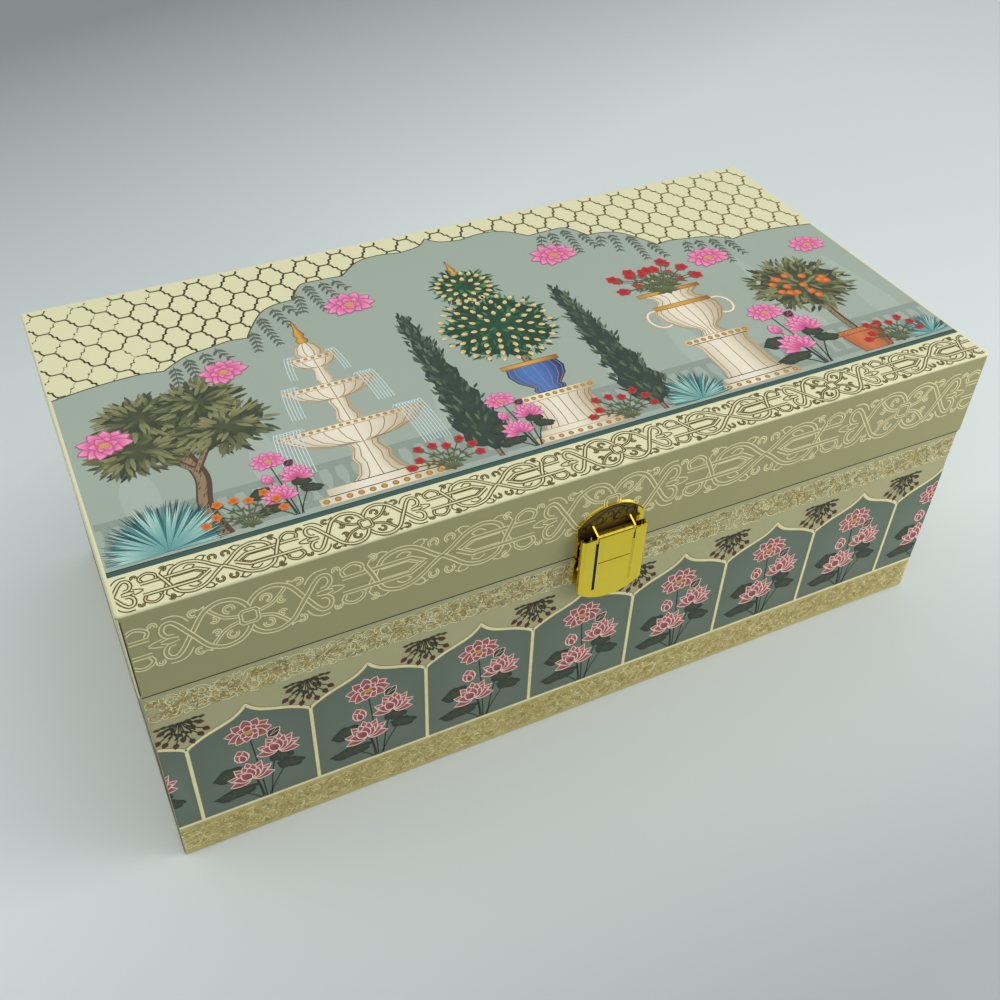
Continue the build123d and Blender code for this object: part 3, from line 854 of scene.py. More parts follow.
def lotus_plant(draw, u, v, size=1.0, layer=4, pinks=PINKS):
    """Three lotus flowers, two buds and their leaves on a bunch of stems, as a common motif."""

    def at(a, b):
        return u + a * size, v + b * size

    for a, b, foot in ((-0.6, 30.0, 1.5), (6.0, 20.0, 2.9), (-1.8, 14.0, 0.4), (-3.2, 21.0, 1.0),
                       (8.4, 12.0, 2.2), (-7.0, 6.5, 0.0)):
        stem = smooth([at(foot, 0), at((a * 0.5 + foot * 0.5) * 0.8 + 0.4, b * 0.45), at(a, b)], 4)
        draw.line(stem, 0.42 * size, layer, LEAF_DARK)
    pads = ((-8.0, 15.2, 8.4, 5.6, 0.3, 20), (7.2, 16.4, 7.4, 5.6, 0.3, -30),
            (9.6, 11.6, 8.2, 4.4, 0.6, -14), (-6.6, 6.0, 12.6, 4.8, 0.3, 5))
    for a, b, wide, high, lift, turn_by in pads:
        pad_leaf(draw, *at(a, b), wide * size, high * size, layer + lift, turn_by)
    open_lotus(draw, *at(-0.5, 31.2), 6.7 * size, layer + 1, pinks, 8)
    husk = moved(pointed_oval(4.6, 3.6), *at(4.4, 26.0), size, 38)
    draw.fill(husk, layer + 0.9, LEAF_DARK)
    draw.line(husk, 0.3 * size, layer + 1, pinks[2], True)
    root = at(4.9, 26.4)
    for lean in (26, 50):
        rib = moved([(0, 0), (3.2, 0)], *root, size, lean)
        draw.line(rib, 0.16 * size, layer + 1.1, pinks[2])
    bud(draw, *at(-2.9, 18.9), 5.6 * size, layer + 1, pinks, 104)
    side_lotus(draw, *at(6.6, 19.2), 7.2 * size, layer + 1, pinks, -8)
    side_lotus(draw, *at(-1.8, 10.6), 7.6 * size, layer + 1, pinks, 6)


def arcade(face, limit, first):
    """One whole side of the base."""
    base_ink.on(face, limit)
    base_foil.on(face, limit)
    low, high = BASE_PAPER_LOW, BAND_TOP - 1.2
    base_ink.fill([(-limit, low), (limit, low), (limit, high), (-limit, high)], 0.5, BAND)
    middle = first - PITCH / 2
    while middle - PITCH / 2 < limit:
        left, right = max(middle - PITCH / 2, -limit), min(middle + PITCH / 2, limit)
        arch = [p for p in moved(arch_line, middle) if left <= p[0] <= right]
        if right - left > 2:
            corners = [(right, BAND_TOP), (left, BAND_TOP)]
            if middle + PITCH / 2 > limit:
                corners.insert(0, (right, arch[-1][1]))
            if middle - PITCH / 2 < -limit:
                corners.append((left, arch[0][1]))
            heart = (middle if left < middle < right else (left + right) / 2, 30)
            base_ink.shade([*arch, *corners], heart, 1, NICHE_DEEP, NICHE)
            # Painted shadow: a darker line under the foil along each edge of the arch.
            base_ink.line(arch, 1.5, 2, FOIL_EDGE_PAINTED_SHADE)
            base_foil.line(arch, 1.05, 3, GOLD_PAINTED_PALE)
        lotus_plant(base_ink, middle, BAND_TOP)
        if abs(middle + PITCH / 2) < limit:
            pillar = [(middle + PITCH / 2, BAND_TOP), (middle + PITCH / 2, PILLAR_TOP)]
            # Painted shadow along each edge of the foil pillar.
            base_ink.line(pillar, 1.35, 1.9, FOIL_EDGE_PAINTED_SHADE)
            base_foil.line(pillar, 1.0, 2.9, GOLD_PAINTED_PALE)
        sprig(base_ink, middle + PITCH / 2)
        middle += PITCH
    base_foil.line([(-limit, BAND_TOP - 0.55), (limit, BAND_TOP - 0.55)], 1.0, 1, GOLD_PAINTED_PALE)


def border(draw, face, limit, middle_v, line, first):
    """A band of close strapwork from one end of a side to the other."""
    draw.on(face, limit)
    unit = UNIT * BORDER_SIZE
    count = int(limit / unit) + 2
    quarter = [smooth(upper_loop, 3), smooth(wave, 3), cartouche, inner_point, smooth(arm, 3),
               smooth(triangle_loop, 2, True), smooth(lobe, 3), *curls]
    paths = []
    for k in range(-count, count + 1):
        knot = first + k * 2 * unit
        paths += [moved(path, knot, middle_v, BORDER_SIZE, **flips)
                  for flips in MIRRORS for path in quarter]
        paths += [arc(knot, middle_v, radius * BORDER_SIZE, 0, 360, 12)
                  for radius in (1.0, 1.9, 2.9)]
    for number, path in enumerate(paths):
        draw.line(path, line, 1.2 + number % BORDER_LAYERS * THREAD, GOLD_PAINTED_PALE)


def curly_fill(draw, face, limit, low, high, count, layer, colours):
    """Small hooks of foil strewn over a band, as dense as the real band looks."""
    draw.on(face, limit)
    for number in range(count):
        u, v = chance.uniform(-limit + 1, limit - 1), chance.uniform(low + 0.8, high - 0.8)
        start, reach = chance.uniform(0, 360), chance.uniform(120, 260)
        hook = arc(u, v, chance.uniform(0.45, 0.95), start, start + reach, 5)
        draw.line(hook, 0.24, layer + number % HOOK_LAYERS * THREAD, colours[number % len(colours)])


SIDE_LIMIT = 68.3
FRONT_LIMIT = 131.6
RIM_BAND_MIDDLE = 65.6
BAND_GOLD = linear(226, 210, 142)
RIM_GOLD = linear(214, 190, 116)
FOOT_GOLD_PAINTED_SHADE = linear(182, 164, 98)
SEAM_PAINTED_SHADE = linear(58, 62, 40)
FOOT_BAND_MIDDLE = 6.7
# The foil hooks are given painted light in pale golds, and painted shade between the embossed lines
# in darker golds.
rim_golds = [GOLD_PAINTED_PALE, RIM_GOLD, RIM_GOLD_PAINTED_SHADE]
foot_golds = [BAND_GOLD, RIM_GOLD, FOOT_GOLD_PAINTED_SHADE]
sides = ((base_front, FRONT_LIMIT, FIRST_PILLAR), (base_right, SIDE_LIMIT, -51.75),
         (base_back, FRONT_LIMIT, -115.7), (base_left, SIDE_LIMIT, -60.65))
for face, limit, first in sides:
    arcade(face, limit, first)
    border(base_foil, face, limit, RIM_BAND_MIDDLE, 0.25, 0.0)
    curly_fill(base_foil, face, limit, 61.2, 70.0, int(limit * 14), 8.2, rim_golds)
    border(base_foil, face, limit, FOOT_BAND_MIDDLE, 0.26, 7.0)
    curly_fill(base_foil, face, limit, 1.0, 12.6, int(limit * 16), 8.2, foot_golds)
    # Painted shade along the seam between base and lid.
    base_ink.line([(-limit - 0.6, 71.85), (limit + 0.6, 71.85)], 0.5, 0.6, SEAM_PAINTED_SHADE)
# Painted light: a golden patch left of the clasp, standing in for light thrown back by the brass.
painted_brass_light = arc(-12.9, 66.2, 3.0, 0, 340, 17, 1.5)
base_ink.on(base_front).shade(painted_brass_light, (-12.2, 66.2), 0.4, SAGE, linear(172, 138, 66))
base_foil.piece("base_foil_arcade", "base", gold_foil, "base_print")
base_ink.piece("base_printed_niches", "base", ink_paper, "base_print")

# %% [markdown]
# The lid's picture lies in a pale sage panel. Its upper edge is a row of cusps that rises to a
# point in the middle. Beyond it the cream paper carries a honeycomb lattice of gold foil, given a
# painted dark reflection of the dim room that is painted paler towards the right, rubbed thin at
# the left end, and in front of it runs a band of strapwork in foil painted dark the same way. The
# panel is one filled outline, mirrored left to right.

# %% Top panel, lattice and front band
PANEL = linear(158, 171, 158)
PANEL_LOW = -54.2
PANEL_SIDE = 131.4
TEAL = linear(52, 84, 76)
# The lattice and the panel's edge line are given a painted dark reflection of the dim room.
GOLD_PAINTED_DARKEST = linear(82, 76, 34)
LATTICE_GOLD_PAINTED_PALER = linear(160, 146, 84)
cusped = [[(0, 62.8), (4, 58.9), (11, 57.4)],
          [(11, 57.4), (19.3, 58.7), (27, 57.2), (34.2, 50.9)],
          [(34.2, 50.9), (43, 51.4), (48.8, 50.8), (53.5, 43.4)],
          [(53.5, 43.4), (59.7, 42.8), (65, 40), (70, 33), (72.7, 28.2)],
          [(72.7, 28.2), (78, 28.9), (84, 27.8), (92, 26), (99.5, 21.2)],
          [(99.5, 21.2), (107, 22.3), (119, 21.5), (131.4, 19.3)]]
half_edge = [p for between_cusps in cusped for p in smooth(between_cusps)]
panel_edge = [(-u, v) for u, v in half_edge[::-1]] + half_edge[1:]
top_ink = Drawing(lid_top, PANEL_SIDE)
top_foil = Drawing(lid_top)
top_ink.fill([*panel_edge, (PANEL_SIDE, PANEL_LOW), (-PANEL_SIDE, PANEL_LOW)], 0.5, PANEL)
top_ink.line(panel_edge, 0.5, 0.9, GOLD_PAINTED_DARKEST)
top_ink.line([(-PANEL_SIDE, -55.2), (PANEL_SIDE, -55.2)], 1.7, 0.8, TEAL)
top_ink.line([(-PANEL_SIDE, -54.3), (PANEL_SIDE, -54.3)], 0.35, 0.9, linear(28, 50, 46))


def edge_height(u):
    """How far up the panel's cusped edge lies at a place across."""
    for (u0, v0), (u1, v1) in zip(panel_edge, panel_edge[1:]):
        if u0 <= u <= u1 and u1 > u0:
            return v0 + (v1 - v0) * (u - u0) / (u1 - u0)
    return panel_edge[0][1]


LATTICE_STEP = 12.06
LATTICE_ROW = 5.6
LATTICE_ROWS = 10
LATTICE_FROM = (4.68, 20.4)
RUBBED_FROM, RUBBED_OVER = -92, 34
arm_low = [(0, 0), (1.1, 0.02), (1.75, 0.35), (2.2, 1.05), (2.45, 1.8), (2.5, 2.45)]
arm_high = [(3.53, 3.15), (3.58, 3.8), (3.83, 4.55), (4.28, 5.25), (4.93, 5.58), (6.03, 5.6)]
lattice_arm = [*smooth(arm_low, 3), (2.68, 2.72), (3.35, 2.88), *smooth(arm_high, 3)]
lattice_knob = [(2.2, 2.6), (3.02, 2.8), (3.84, 3.0)]
TOP_LIMIT_U = 131.6
TOP_KNOT = 3.7
TOP_BAND_MIDDLE = -63.0
TOP_BAND_SIZE = 0.711
TOP_LIMIT_V = 67.4


def share_of(value, start, reach):
    """How far a value lies from a start towards its reach, from 0 to 1."""
    return max(0.0, min(1.0, (value - start) / reach))


def lattice_line(path, right, column, row, worn, gold):
    """One line of the lattice, whole or rubbed to a thread with flakes left on it."""
    kept = [(u, v) for u, v in path if abs(u) < TOP_LIMIT_U and edge_height(u) < v < TOP_LIMIT_V]
    if len(kept) < 2:
        return
    thread = (column + 12 + row * 3) % 5 * THREAD + (THREAD * 6 if right else 0)
    if chance.random() > worn:
        width = 0.7 if len(kept) > 3 else 0.46
        top_foil.line(kept, width * (1 - 0.35 * worn), 0.4 + thread, gold)
        return
    top_foil.line(kept, 0.2, 0.4 + thread, tone(GOLD_PAINTED_DARKEST, CREAM, 0.35))
    for start in range(0, len(kept) - 2, 3):
        if chance.random() > 0.55:
            width = chance.uniform(0.3, 0.6)
            top_foil.line(kept[start:start + 3], width, 0.9 + thread, GOLD_PAINTED_DARKEST)


for row in range(-2, LATTICE_ROWS):
    v = LATTICE_FROM[1] + row * LATTICE_ROW
    shift = LATTICE_STEP / 2 if row % 2 else 0.0
    for column in range(-12, 13):
        u = LATTICE_FROM[0] + column * LATTICE_STEP + shift
        # The painted reflection grows paler towards the right.
        gold = tone(GOLD_PAINTED_DARKEST, LATTICE_GOLD_PAINTED_PALER, share_of(u, -10, 130))
        for right in (False, True):
            worn = share_of(-u, -RUBBED_FROM, RUBBED_OVER) * (0.95 if right else 0.3)
            for path in (lattice_arm, lattice_knob):
                lattice_line(moved(path, u, v, flip_u=not right), right, column, row, worn, gold)

top_foil.on(lid_top, TOP_LIMIT_U - 0.4)
top_ground = Drawing(lid_top, TOP_LIMIT_U - 0.4)
for k in range(-2, 3):
    knot_u = TOP_KNOT + k * 2 * UNIT * TOP_BAND_SIZE
    # The foil of the top band carries a painted dark reflection of the dim room.
    strapwork(top_foil, top_ground, knot_u, TOP_BAND_MIDDLE, TOP_BAND_SIZE, 0.38, CREAM, TOP_GOLD_PAINTED_DARK)
print("panel edge points", len(panel_edge))

# %% [markdown]
# The picture in the panel is a garden with a fountain, urns, trees and flowers, in the colours
# of old miniature painting. Each kind of thing is a small recipe of brush strokes. Turned
# stone and pots are drawn in upright strips, light in the middle and dark at the sides,
# because that is what makes a flat shape look round.

# %% Stone and pots
IVORY = (linear(236, 228, 206), linear(182, 164, 130))
GOLD_PAINT = (linear(214, 164, 66), linear(150, 100, 30))
BLUE_GLAZE = (linear(72, 120, 190), linear(20, 46, 110))
CLAY = (linear(206, 116, 66), linear(136, 62, 36))
RIB = linear(150, 120, 82)
WATER = linear(206, 226, 226)
STRIPS = 8


def turned(draw, u, v, profile, layer, tones, ribs=0, size=1.0):
    """A round thing seen from the side, from its half-widths and heights."""
    light, dark = tones
    shares = [2 * k / STRIPS - 1 for k in range(STRIPS + 1)]
    flat = [(u + half_width * size * share, v + height * size)
            for half_width, height in profile for share in shares]
    colours = [tone(light, dark, abs(share + 0.2) ** 1.6 * 0.85) for share in shares]
    draw.add(flat, grid(len(profile) - 1, STRIPS), layer, colours * len(profile))
    for k in range(ribs):
        share = math.sin(math.pi * ((k + 1) / (ribs + 1) - 0.5))
        rib = [(u + half_width * size * share, v + height * size) for half_width, height in profile]
        draw.line(rib, 0.28, layer + 0.2, RIB)
    outline = [(u + half_width * size, v + height * size) for half_width, height in profile]
    outline += [(u - half_width * size, v + height * size) for half_width, height in profile[::-1]]
    draw.line(outline, 0.3, layer + 0.3, dark, True)


def slab(draw, u, v, half_width, low, high, layer, tones, beads=0, size=1.0):
    """A straight moulding, with a row of beads where it has any."""
    turned(draw, u, v, [(half_width, low), (half_width, high)], layer, tones, 0, size)
    for k in range(beads):
        at = u + half_width * size * (2 * (k + 0.5) / beads - 1)
        radius = min((high - low) * 0.32, half_width / beads * 0.7) * size
        draw.shade(arc(at, v + (low + high) / 2 * size, radius, 0, 315, 7),
                   (at, v + (low + high) / 2 * size), layer + 0.4, GOLD_PAINT[1], GOLD_PAINT[0])


def finial(draw, u, v, height, layer):
    """A slender gilt point."""
    profile = [(0.1, 0), (0.15, 0.12), (0.07, 0.24), (0.13, 0.36), (0.05, 0.6)]
    profile = [(height * wide, height * high) for wide, high in profile] + [(0.05, height)]
    turned(draw, u, v, profile, layer, GOLD_PAINT)


def bowl(draw, u, v, half_width, depth, layer, ribs):
    """A ribbed fountain bowl with a beaded rim, and water falling from it."""
    curve = [(0.16, 0), (0.5, 0.12), (0.8, 0.42), (0.96, 0.78), (1, 1)]
    curve = [(half_width * wide, depth * high) for wide, high in curve]
    turned(draw, u, v, curve, layer, IVORY, ribs)
    slab(draw, u, v, half_width * 1.06, depth, depth + 2.0, layer + 0.5, IVORY, int(half_width))
    for k in range(int(half_width * 0.9)):
        side = -1 if k % 2 else 1
        start = u + side * half_width * (0.62 + 0.42 * k / (half_width * 0.9))
        fall = [(start, v + depth + 2.6), (start + side * 1.2, v + depth + 3.4),
                (start + side * 2.2, v + depth * 0.4), (start + side * 2.6, v - depth * 0.9)]
        draw.line(smooth(fall), 0.26, layer + 1.0 + k % 6 * 0.04, WATER)


def fountain(draw, u, v, layer):
    """A fountain of three bowls on a stepped foot."""
    slab(draw, u, v, 19.0, 0, 3.0, layer, IVORY, 12)
    slab(draw, u, v, 16.0, 3.0, 6.0, layer, IVORY)
    stem = [(8.5, 6), (6.2, 8), (4.8, 12), (5.6, 15), (3.9, 19), (4.6, 21)]
    turned(draw, u, v, stem, layer, IVORY, 5)
    turned(draw, u, v, [(2.6, 30), (3.6, 33), (2.4, 37), (3.2, 41), (2.6, 43)], layer, IVORY, 3)
    turned(draw, u, v, [(1.8, 50), (2.6, 53), (1.7, 57), (2.2, 59)], layer, IVORY, 1)
    bowl(draw, u, v + 21, 20.5, 8.0, layer + 0.6, 13)
    bowl(draw, u, v + 42, 13.0, 6.0, layer + 0.6, 9)
    bowl(draw, u, v + 58.5, 7.2, 4.2, layer + 0.6, 5)
    turned(draw, u, v, [(3.4, 64.6), (4.4, 67), (3.4, 70), (1.2, 72.4)], layer + 0.6, IVORY, 4)
    finial(draw, u, v + 72, 13, layer + 1.4)


def urn(draw, u, v, layer, size):
    """A ribbed urn on a stepped pedestal, with two handles."""
    slab(draw, u, v, 12.0, 0, 2.4, layer, IVORY, 8, size)
    slab(draw, u, v, 10.2, 2.4, 4.6, layer, IVORY, 0, size)
    turned(draw, u, v, [(8.6, 4.6), (7.8, 7), (7.8, 19), (8.8, 21.4)], layer, IVORY, 5, size)
    slab(draw, u, v, 10.2, 21.4, 24.0, layer, IVORY, 9, size)
    for side in (-1, 1):
        ring = arc(u + side * 10.2 * size, v + 36 * size, 3.4 * size, 0, 350, 14, 1.25)
        draw.line(ring, 1.3 * size, layer, IVORY[1], True)
        draw.line(ring, 0.6 * size, layer + 0.2, IVORY[0], True)
    body = [(4.2, 24), (3.0, 26.4), (3.4, 27.6), (7.0, 30.4), (9.8, 34.4), (10.4, 38), (8.8, 41.4)]
    turned(draw, u, v, body, layer + 0.5, IVORY, 9, size)
    neck = [(8.8, 41.4), (6.6, 43.6), (6.8, 45.4), (9.8, 47.6)]
    turned(draw, u, v, neck, layer + 0.5, IVORY, 7, size)
    slab(draw, u, v, 9.2, 39.8, 41.6, layer + 1, GOLD_PAINT, 0, size)
    slab(draw, u, v, 10.4, 47.4, 49.0, layer + 1, GOLD_PAINT, 0, size)


# %% [markdown]
# Trees are where a painter is patient: a crown is hundreds of short pointed strokes, dark ones
# first and pale ones over them. A fixed seed keeps every stroke in its place each time.

# %% Trees and tufts
GREENS = (linear(52, 60, 40), linear(84, 90, 56), linear(118, 120, 78), linear(146, 144, 98))
DEEP_GREENS = (linear(16, 58, 40), linear(28, 84, 54), linear(58, 116, 74), linear(104, 146, 96))
CYPRESS_GREENS = (linear(38, 56, 46), linear(54, 74, 58), linear(80, 98, 74), linear(110, 122, 92))
TEALS = (linear(18, 62, 66), linear(34, 98, 100), linear(86, 150, 146), linear(190, 222, 212))
BARK = (linear(146, 122, 92), linear(84, 64, 46))
BLOSSOM = linear(232, 232, 190)
ORANGE = (linear(236, 142, 52), linear(186, 84, 26))
RED = (linear(214, 44, 48), linear(150, 18, 34))


def crown(draw, u, v, half_width, half_height, count, stroke, layer, greens, upright=False):
    """Pointed strokes that fill an oval, turned outwards or upwards. Gives the next free layer."""
    rim = []
    for i in range(30):
        angle = 2 * math.pi * i / 30
        bump = 0.86 + 0.07 * math.sin(angle * 7) + 0.04 * math.sin(angle * 11)
        wide, high = half_width * bump, half_height * bump
        rim.append((u + wide * math.cos(angle), v + high * math.sin(angle)))
    draw.shade(rim, (u, v), layer, greens[0], tone(greens[0], greens[1], 0.6))
    for i in range(count):
        share = i / count
        angle = chance.uniform(0, 2 * math.pi)
        reach = math.sqrt(chance.uniform(0, 1)) * 0.92
        a, b = u + half_width * reach * math.cos(angle), v + half_height * reach * math.sin(angle)
        way = 90 + chance.uniform(-24, 24) + 30 * (u - a) / half_width if upright else (
            math.degrees(angle) + chance.uniform(-38, 38))
        shade = min(3, int(share * 3.2 + chance.uniform(0, 0.9)))
        dark = greens[max(shade - 1, 0)]
        layer += STROKE_LIFT
        length = stroke * chance.uniform(0.7, 1.25)
        petal(draw, a, b, way, length, stroke * 0.26, layer, dark, greens[shade])
    return layer + STROKE_LIFT


def trunk(draw, path, width, layer):
    """A bark-coloured stem of even width, with a paler stripe along it and short marks across it.
    """
    curve = smooth(path, 6)
    for number, (side, colour) in enumerate(((0.0, BARK[1]), (0.1, BARK[0]))):
        wide = width * (1 - 0.45 * number)
        draw.line(offset(curve, side * width), wide, layer + number * 0.1, colour)
    for i in range(len(curve) - 1):
        (a, b), (c, d) = curve[i], curve[i + 1]
        for _ in range(2):
            share, lean = chance.uniform(0, 1), chance.uniform(-0.4, 0.4) * width
            mark = [(a + (c - a) * share + lean, b + (d - b) * share),
                    (a + (c - a) * share + lean + width * 0.16, b + (d - b) * share + width * 0.3)]
            draw.line(mark, 0.26, layer + 0.2 + i % 8 * 0.03, tone(BARK[1], LEAF_DARK, 0.25))


def olive_tree(draw, u, v, layer):
    """An old tree with three boughs and a crown in five parts."""
    trunk(draw, [(u + 1.5, v), (u - 0.6, v + 12), (u + 1.4, v + 24), (u - 1, v + 36)], 4.2, layer)
    trunk(draw, [(u + 0.6, v + 26), (u + 5, v + 34), (u + 9, v + 40)], 2.0, layer + 0.5)
    trunk(draw, [(u, v + 28), (u - 5, v + 35), (u - 9, v + 42)], 2.0, layer + 1.0)
    layer += 1.6
    crowns = ((0, 48, 1.0), (-12, 41, 0.78), (13, 42, 0.78), (-8, 55, 0.66), (9, 56, 0.66))
    for a, b, size in crowns:
        layer = crown(draw, u + a, v + b, 15 * size, 12 * size, int(230 * size), 4.8, layer, GREENS)


def ball_tree(draw, u, v, layer):
    """A clipped tree with rings of cream blossom, in a blue pot on a pedestal."""
    slab(draw, u, v, 15.0, 0, 2.6, layer, IVORY, 10)
    slab(draw, u, v, 12.6, 2.6, 5.0, layer + 0.01, IVORY)
    turned(draw, u, v, [(10.6, 5.0), (9.4, 7.6), (9.0, 12), (9.6, 16), (11, 18)], layer, IVORY, 9)
    slab(draw, u, v, 12.6, 18, 21, layer + 0.5, IVORY, 11)
    v += 21
    trunk(draw, [(u, v + 14), (u + 0.4, v + 26), (u, v + 40)], 2.8, layer)
    pot = [(4.6, 0), (5.0, 1.4), (4.2, 2.6), (7.6, 6.4), (9.0, 10.2), (8.2, 13.4), (9.0, 14.6)]
    turned(draw, u, v, pot, layer + 0.5, BLUE_GLAZE, 7)
    slab(draw, u, v, 9.4, 13.8, 15.6, layer + 1, GOLD_PAINT)
    top = layer + 0.8
    for height, radius in ((36, 18.5), (61, 10.4)):
        top = crown(draw, u, v + height, radius, radius, int(radius * 15), 3.2, top, DEEP_GREENS)
        for ring in range(1, 6):
            count = ring * 5
            for k in range(count):
                angle = 360 * (k + 0.5 * (ring % 2)) / count
                if radius < 12 and ring % 2:
                    continue
                a, b = moved([(radius * ring / 5.7, 0)], u, v + height, 1.0, angle)[0]
                petal(draw, a - 0.6, b, angle, 2.4, 1.5, layer + 7.2, GOLD_PAINT[0], BLOSSOM)
    finial(draw, u, v + 69, 9, layer + 7.4)


def orange_tree(draw, u, v, layer):
    """A small fruit tree in a clay pot."""
    trunk(draw, [(u, v + 10), (u - 0.6, v + 22), (u + 0.4, v + 34)], 2.6, layer)
    turned(draw, u, v, [(5.4, 0), (6.6, 5), (7.6, 10)], layer + 0.4, CLAY, 5)
    slab(draw, u, v, 8.4, 9.4, 11.6, layer + 0.8, CLAY, 7)
    top = crown(draw, u, v + 40, 17, 14.5, 330, 4.6, layer + 0.6, GREENS)
    for number in range(17):
        angle, reach = chance.uniform(0, 2 * math.pi), math.sqrt(chance.uniform(0, 1)) * 11
        a, b = u + reach * math.cos(angle), v + 40 + reach * math.sin(angle) * 0.9
        lift = top + 0.1 + number * 0.04
        draw.shade(arc(a, b, 1.5, 0, 330, 11), (a - 0.4, b + 0.4), lift, ORANGE[1], ORANGE[0])


def cypress(draw, u, v, height, layer):
    """A slender dark tree, built of five crowns that narrow upwards."""
    trunk(draw, [(u, v), (u, v + height * 0.12)], 1.6, layer)
    layer += 0.5
    for part in range(5):
        share = part / 4
        half_width = height * 0.1 * (1.1 - 0.72 * share)
        middle = v + height * (0.2 + 0.66 * share)
        layer = crown(draw, u, middle, half_width, height * 0.17, 66, 3.2, layer,
                      CYPRESS_GREENS, True)


def tuft(draw, u, v, size, count, layer):
    """A spiky plant: dark blades first, pale ones over them."""
    for i in range(count):
        angle = 90 + chance.uniform(-90, 90)
        length = size * chance.uniform(0.72, 1.0) * (0.78 + 0.22 * math.sin(math.radians(angle)))
        shade = min(3, int(i / count * 3.4 + chance.uniform(0, 0.6)))
        layer += STROKE_LIFT
        dark = TEALS[max(shade - 1, 0)]
        petal(draw, u, v, angle, length, size * 0.032, layer, dark, TEALS[shade])


def poppy_bush(draw, u, v, size, count, layer, tones=RED):
    """Stems with small leaves and round buds or flowers at their ends."""
    for i in range(count):
        angle = 90 + (i - (count - 1) / 2) * 150 / count
        length = size * (0.78 + 0.22 * (i % 3) / 2)
        tip = moved([(length, 0)], u, v, 1.0, angle)[0]
        bend = moved([(length * 0.5, 0)], u, v, 1.0, angle * 0.7 + 27)[0]
        spray(draw, [(u, v), bend, tip], size * 0.17, 4, layer + i * 0.2, LEAF_OLIVE, LEAF_PALE)
        for k in range(5):
            petal(draw, *tip, k * 72 + angle, size * 0.12, size * 0.11, layer + 2.0 + k * 0.05,
                  tones[1], tones[0])


# %% [markdown]
# Behind the garden a few pale shapes suggest distance: a balustrade and far cypresses, in a
# colour hardly darker than the panel itself.

# %% The garden picture
FAR = tone(PANEL, linear(104, 120, 112), 0.42)
FARTHER = tone(PANEL, linear(176, 188, 178), 0.45)
GROUND = PANEL_LOW + 1.2
RAIL_END = 130.9
for u in (-118, -84, -58, -30, 24, 50, 92, 121):
    height = 30 + 13 * math.sin(u * 0.7)
    side = [(4.5, 16), (4.8, 24), (2.4, 20 + height * 0.7)]
    shape = [(-a, b) for a, b in side] + [(0, 22 + height)] + side[::-1]
    top_ink.fill(smooth(moved(shape, u, GROUND)), 0.8, FARTHER)
for low, high in ((14.0, 16.6), (1.0, 3.4)):
    rail = [(-RAIL_END, low), (RAIL_END, low), (RAIL_END, high), (-RAIL_END, high)]
    top_ink.fill(moved(rail, 0, GROUND), 1.0, FAR)
side = smooth([(0.8, 3.4), (1.7, 6.4), (0.7, 10.0), (1.1, 14.0)], 3)
baluster = side + [(-a, b) for a, b in side[::-1]]
for k in range(58):
    top_ink.fill(moved(baluster, -128.5 + k * 4.5, GROUND), 0.9, FAR)

olive_tree(top_ink, -103, GROUND, 2)
fountain(top_ink, -58, GROUND, 2)
cypress(top_ink, -26, GROUND, 74, 2)
ball_tree(top_ink, 0, GROUND, 4.5)
cypress(top_ink, 26, GROUND, 70, 2)
urn(top_ink, 60, GROUND, 2, 1.12)
orange_tree(top_ink, 103, GROUND, 2)
for i, (a, b, size) in enumerate(((-7, 52, 15), (7, 53, 15), (0, 50, 20))):
    poppy_bush(top_ink, 60 + a * 0.4, GROUND + b + 2, size, 7, 5 + i * 2)
blooms = ((-38, 34, 8.6, 4), (36, 36, 8.8, 20), (-84, 14, 7.6, 40), (84, 14, 8.0, 12),
          (-122, -6, 8.0, 30), (121, 8, 7.0, 5))
for u, v, size, turn_by in blooms:
    open_lotus(top_ink, u, v, size, 12, BRIGHT_PINKS, turn_by)
for u, size, layer in ((-16, 0.72, 11), (82, 0.98, 7), (-84, 0.74, 7)):
    lotus_plant(top_ink, u, GROUND, size, layer, BRIGHT_PINKS)
for u, size, count, layer in ((-116, 20, 260, 11), (38, 14, 190, 8), (124, 11, 150, 8)):
    tuft(top_ink, u, GROUND, size, count, layer)
for u, tones in ((-40, RED), (15, RED), (-95, ORANGE), (113, RED)):
    poppy_bush(top_ink, u, GROUND, 13, 8, 14, tones)
VINE_DARK = tone(LEAF_DARK, PANEL, 0.22)
VINE_PALE = tone(LEAF_OLIVE, PANEL, 0.12)
vines = ((0, 17, 1.5), (5, 12, 2.5), (-4.5, 11, -1), (9, 7, 3))
for u in (-47, 47, -66, 66, -92, 92):
    inward = -1 if u > 0 else 1
    for number, (across, length, lean) in enumerate(vines):
        start, lean = u + across * inward, lean * inward
        low = edge_height(start) - 1.2
        bend = (start + lean * 0.3, low - length * 0.5)
        path = [(start, low), bend, (start + lean, low - length)]
        count, layer = int(length / 2.1), 1.2 + number * 0.2
        spray(top_ink, path, 3.3, count, layer, VINE_DARK, VINE_PALE, 40)
top_ink.piece("lid_printed_panel", "lid", ink_paper, "lid_print")
top_foil.piece("lid_top_foil", "lid", gold_foil, "lid_print")
top_ground.piece("lid_top_straps", "lid", ink_paper, "lid_print")

# %% [markdown]
# Polished brass is a mirror, so the arched plate behind the clasp is nearly black where it
# shows the dark side of the room and the foil scrolls near it. A few lamps cannot stand for a
# whole room, so these reflections are painted on: the plate, the curved top of the tongue and
# the rolled ends get a painted dark reflection with reflected scrolls, as marks on the metal. The
# flap gets painted shade in its left slit and its crease, a painted highlight beside the left
# slit, and painted light that fills the right slit. The curved top has a face of its own that
# bends round the pin. The marks leave the slits open where the plate's ears pass through them.

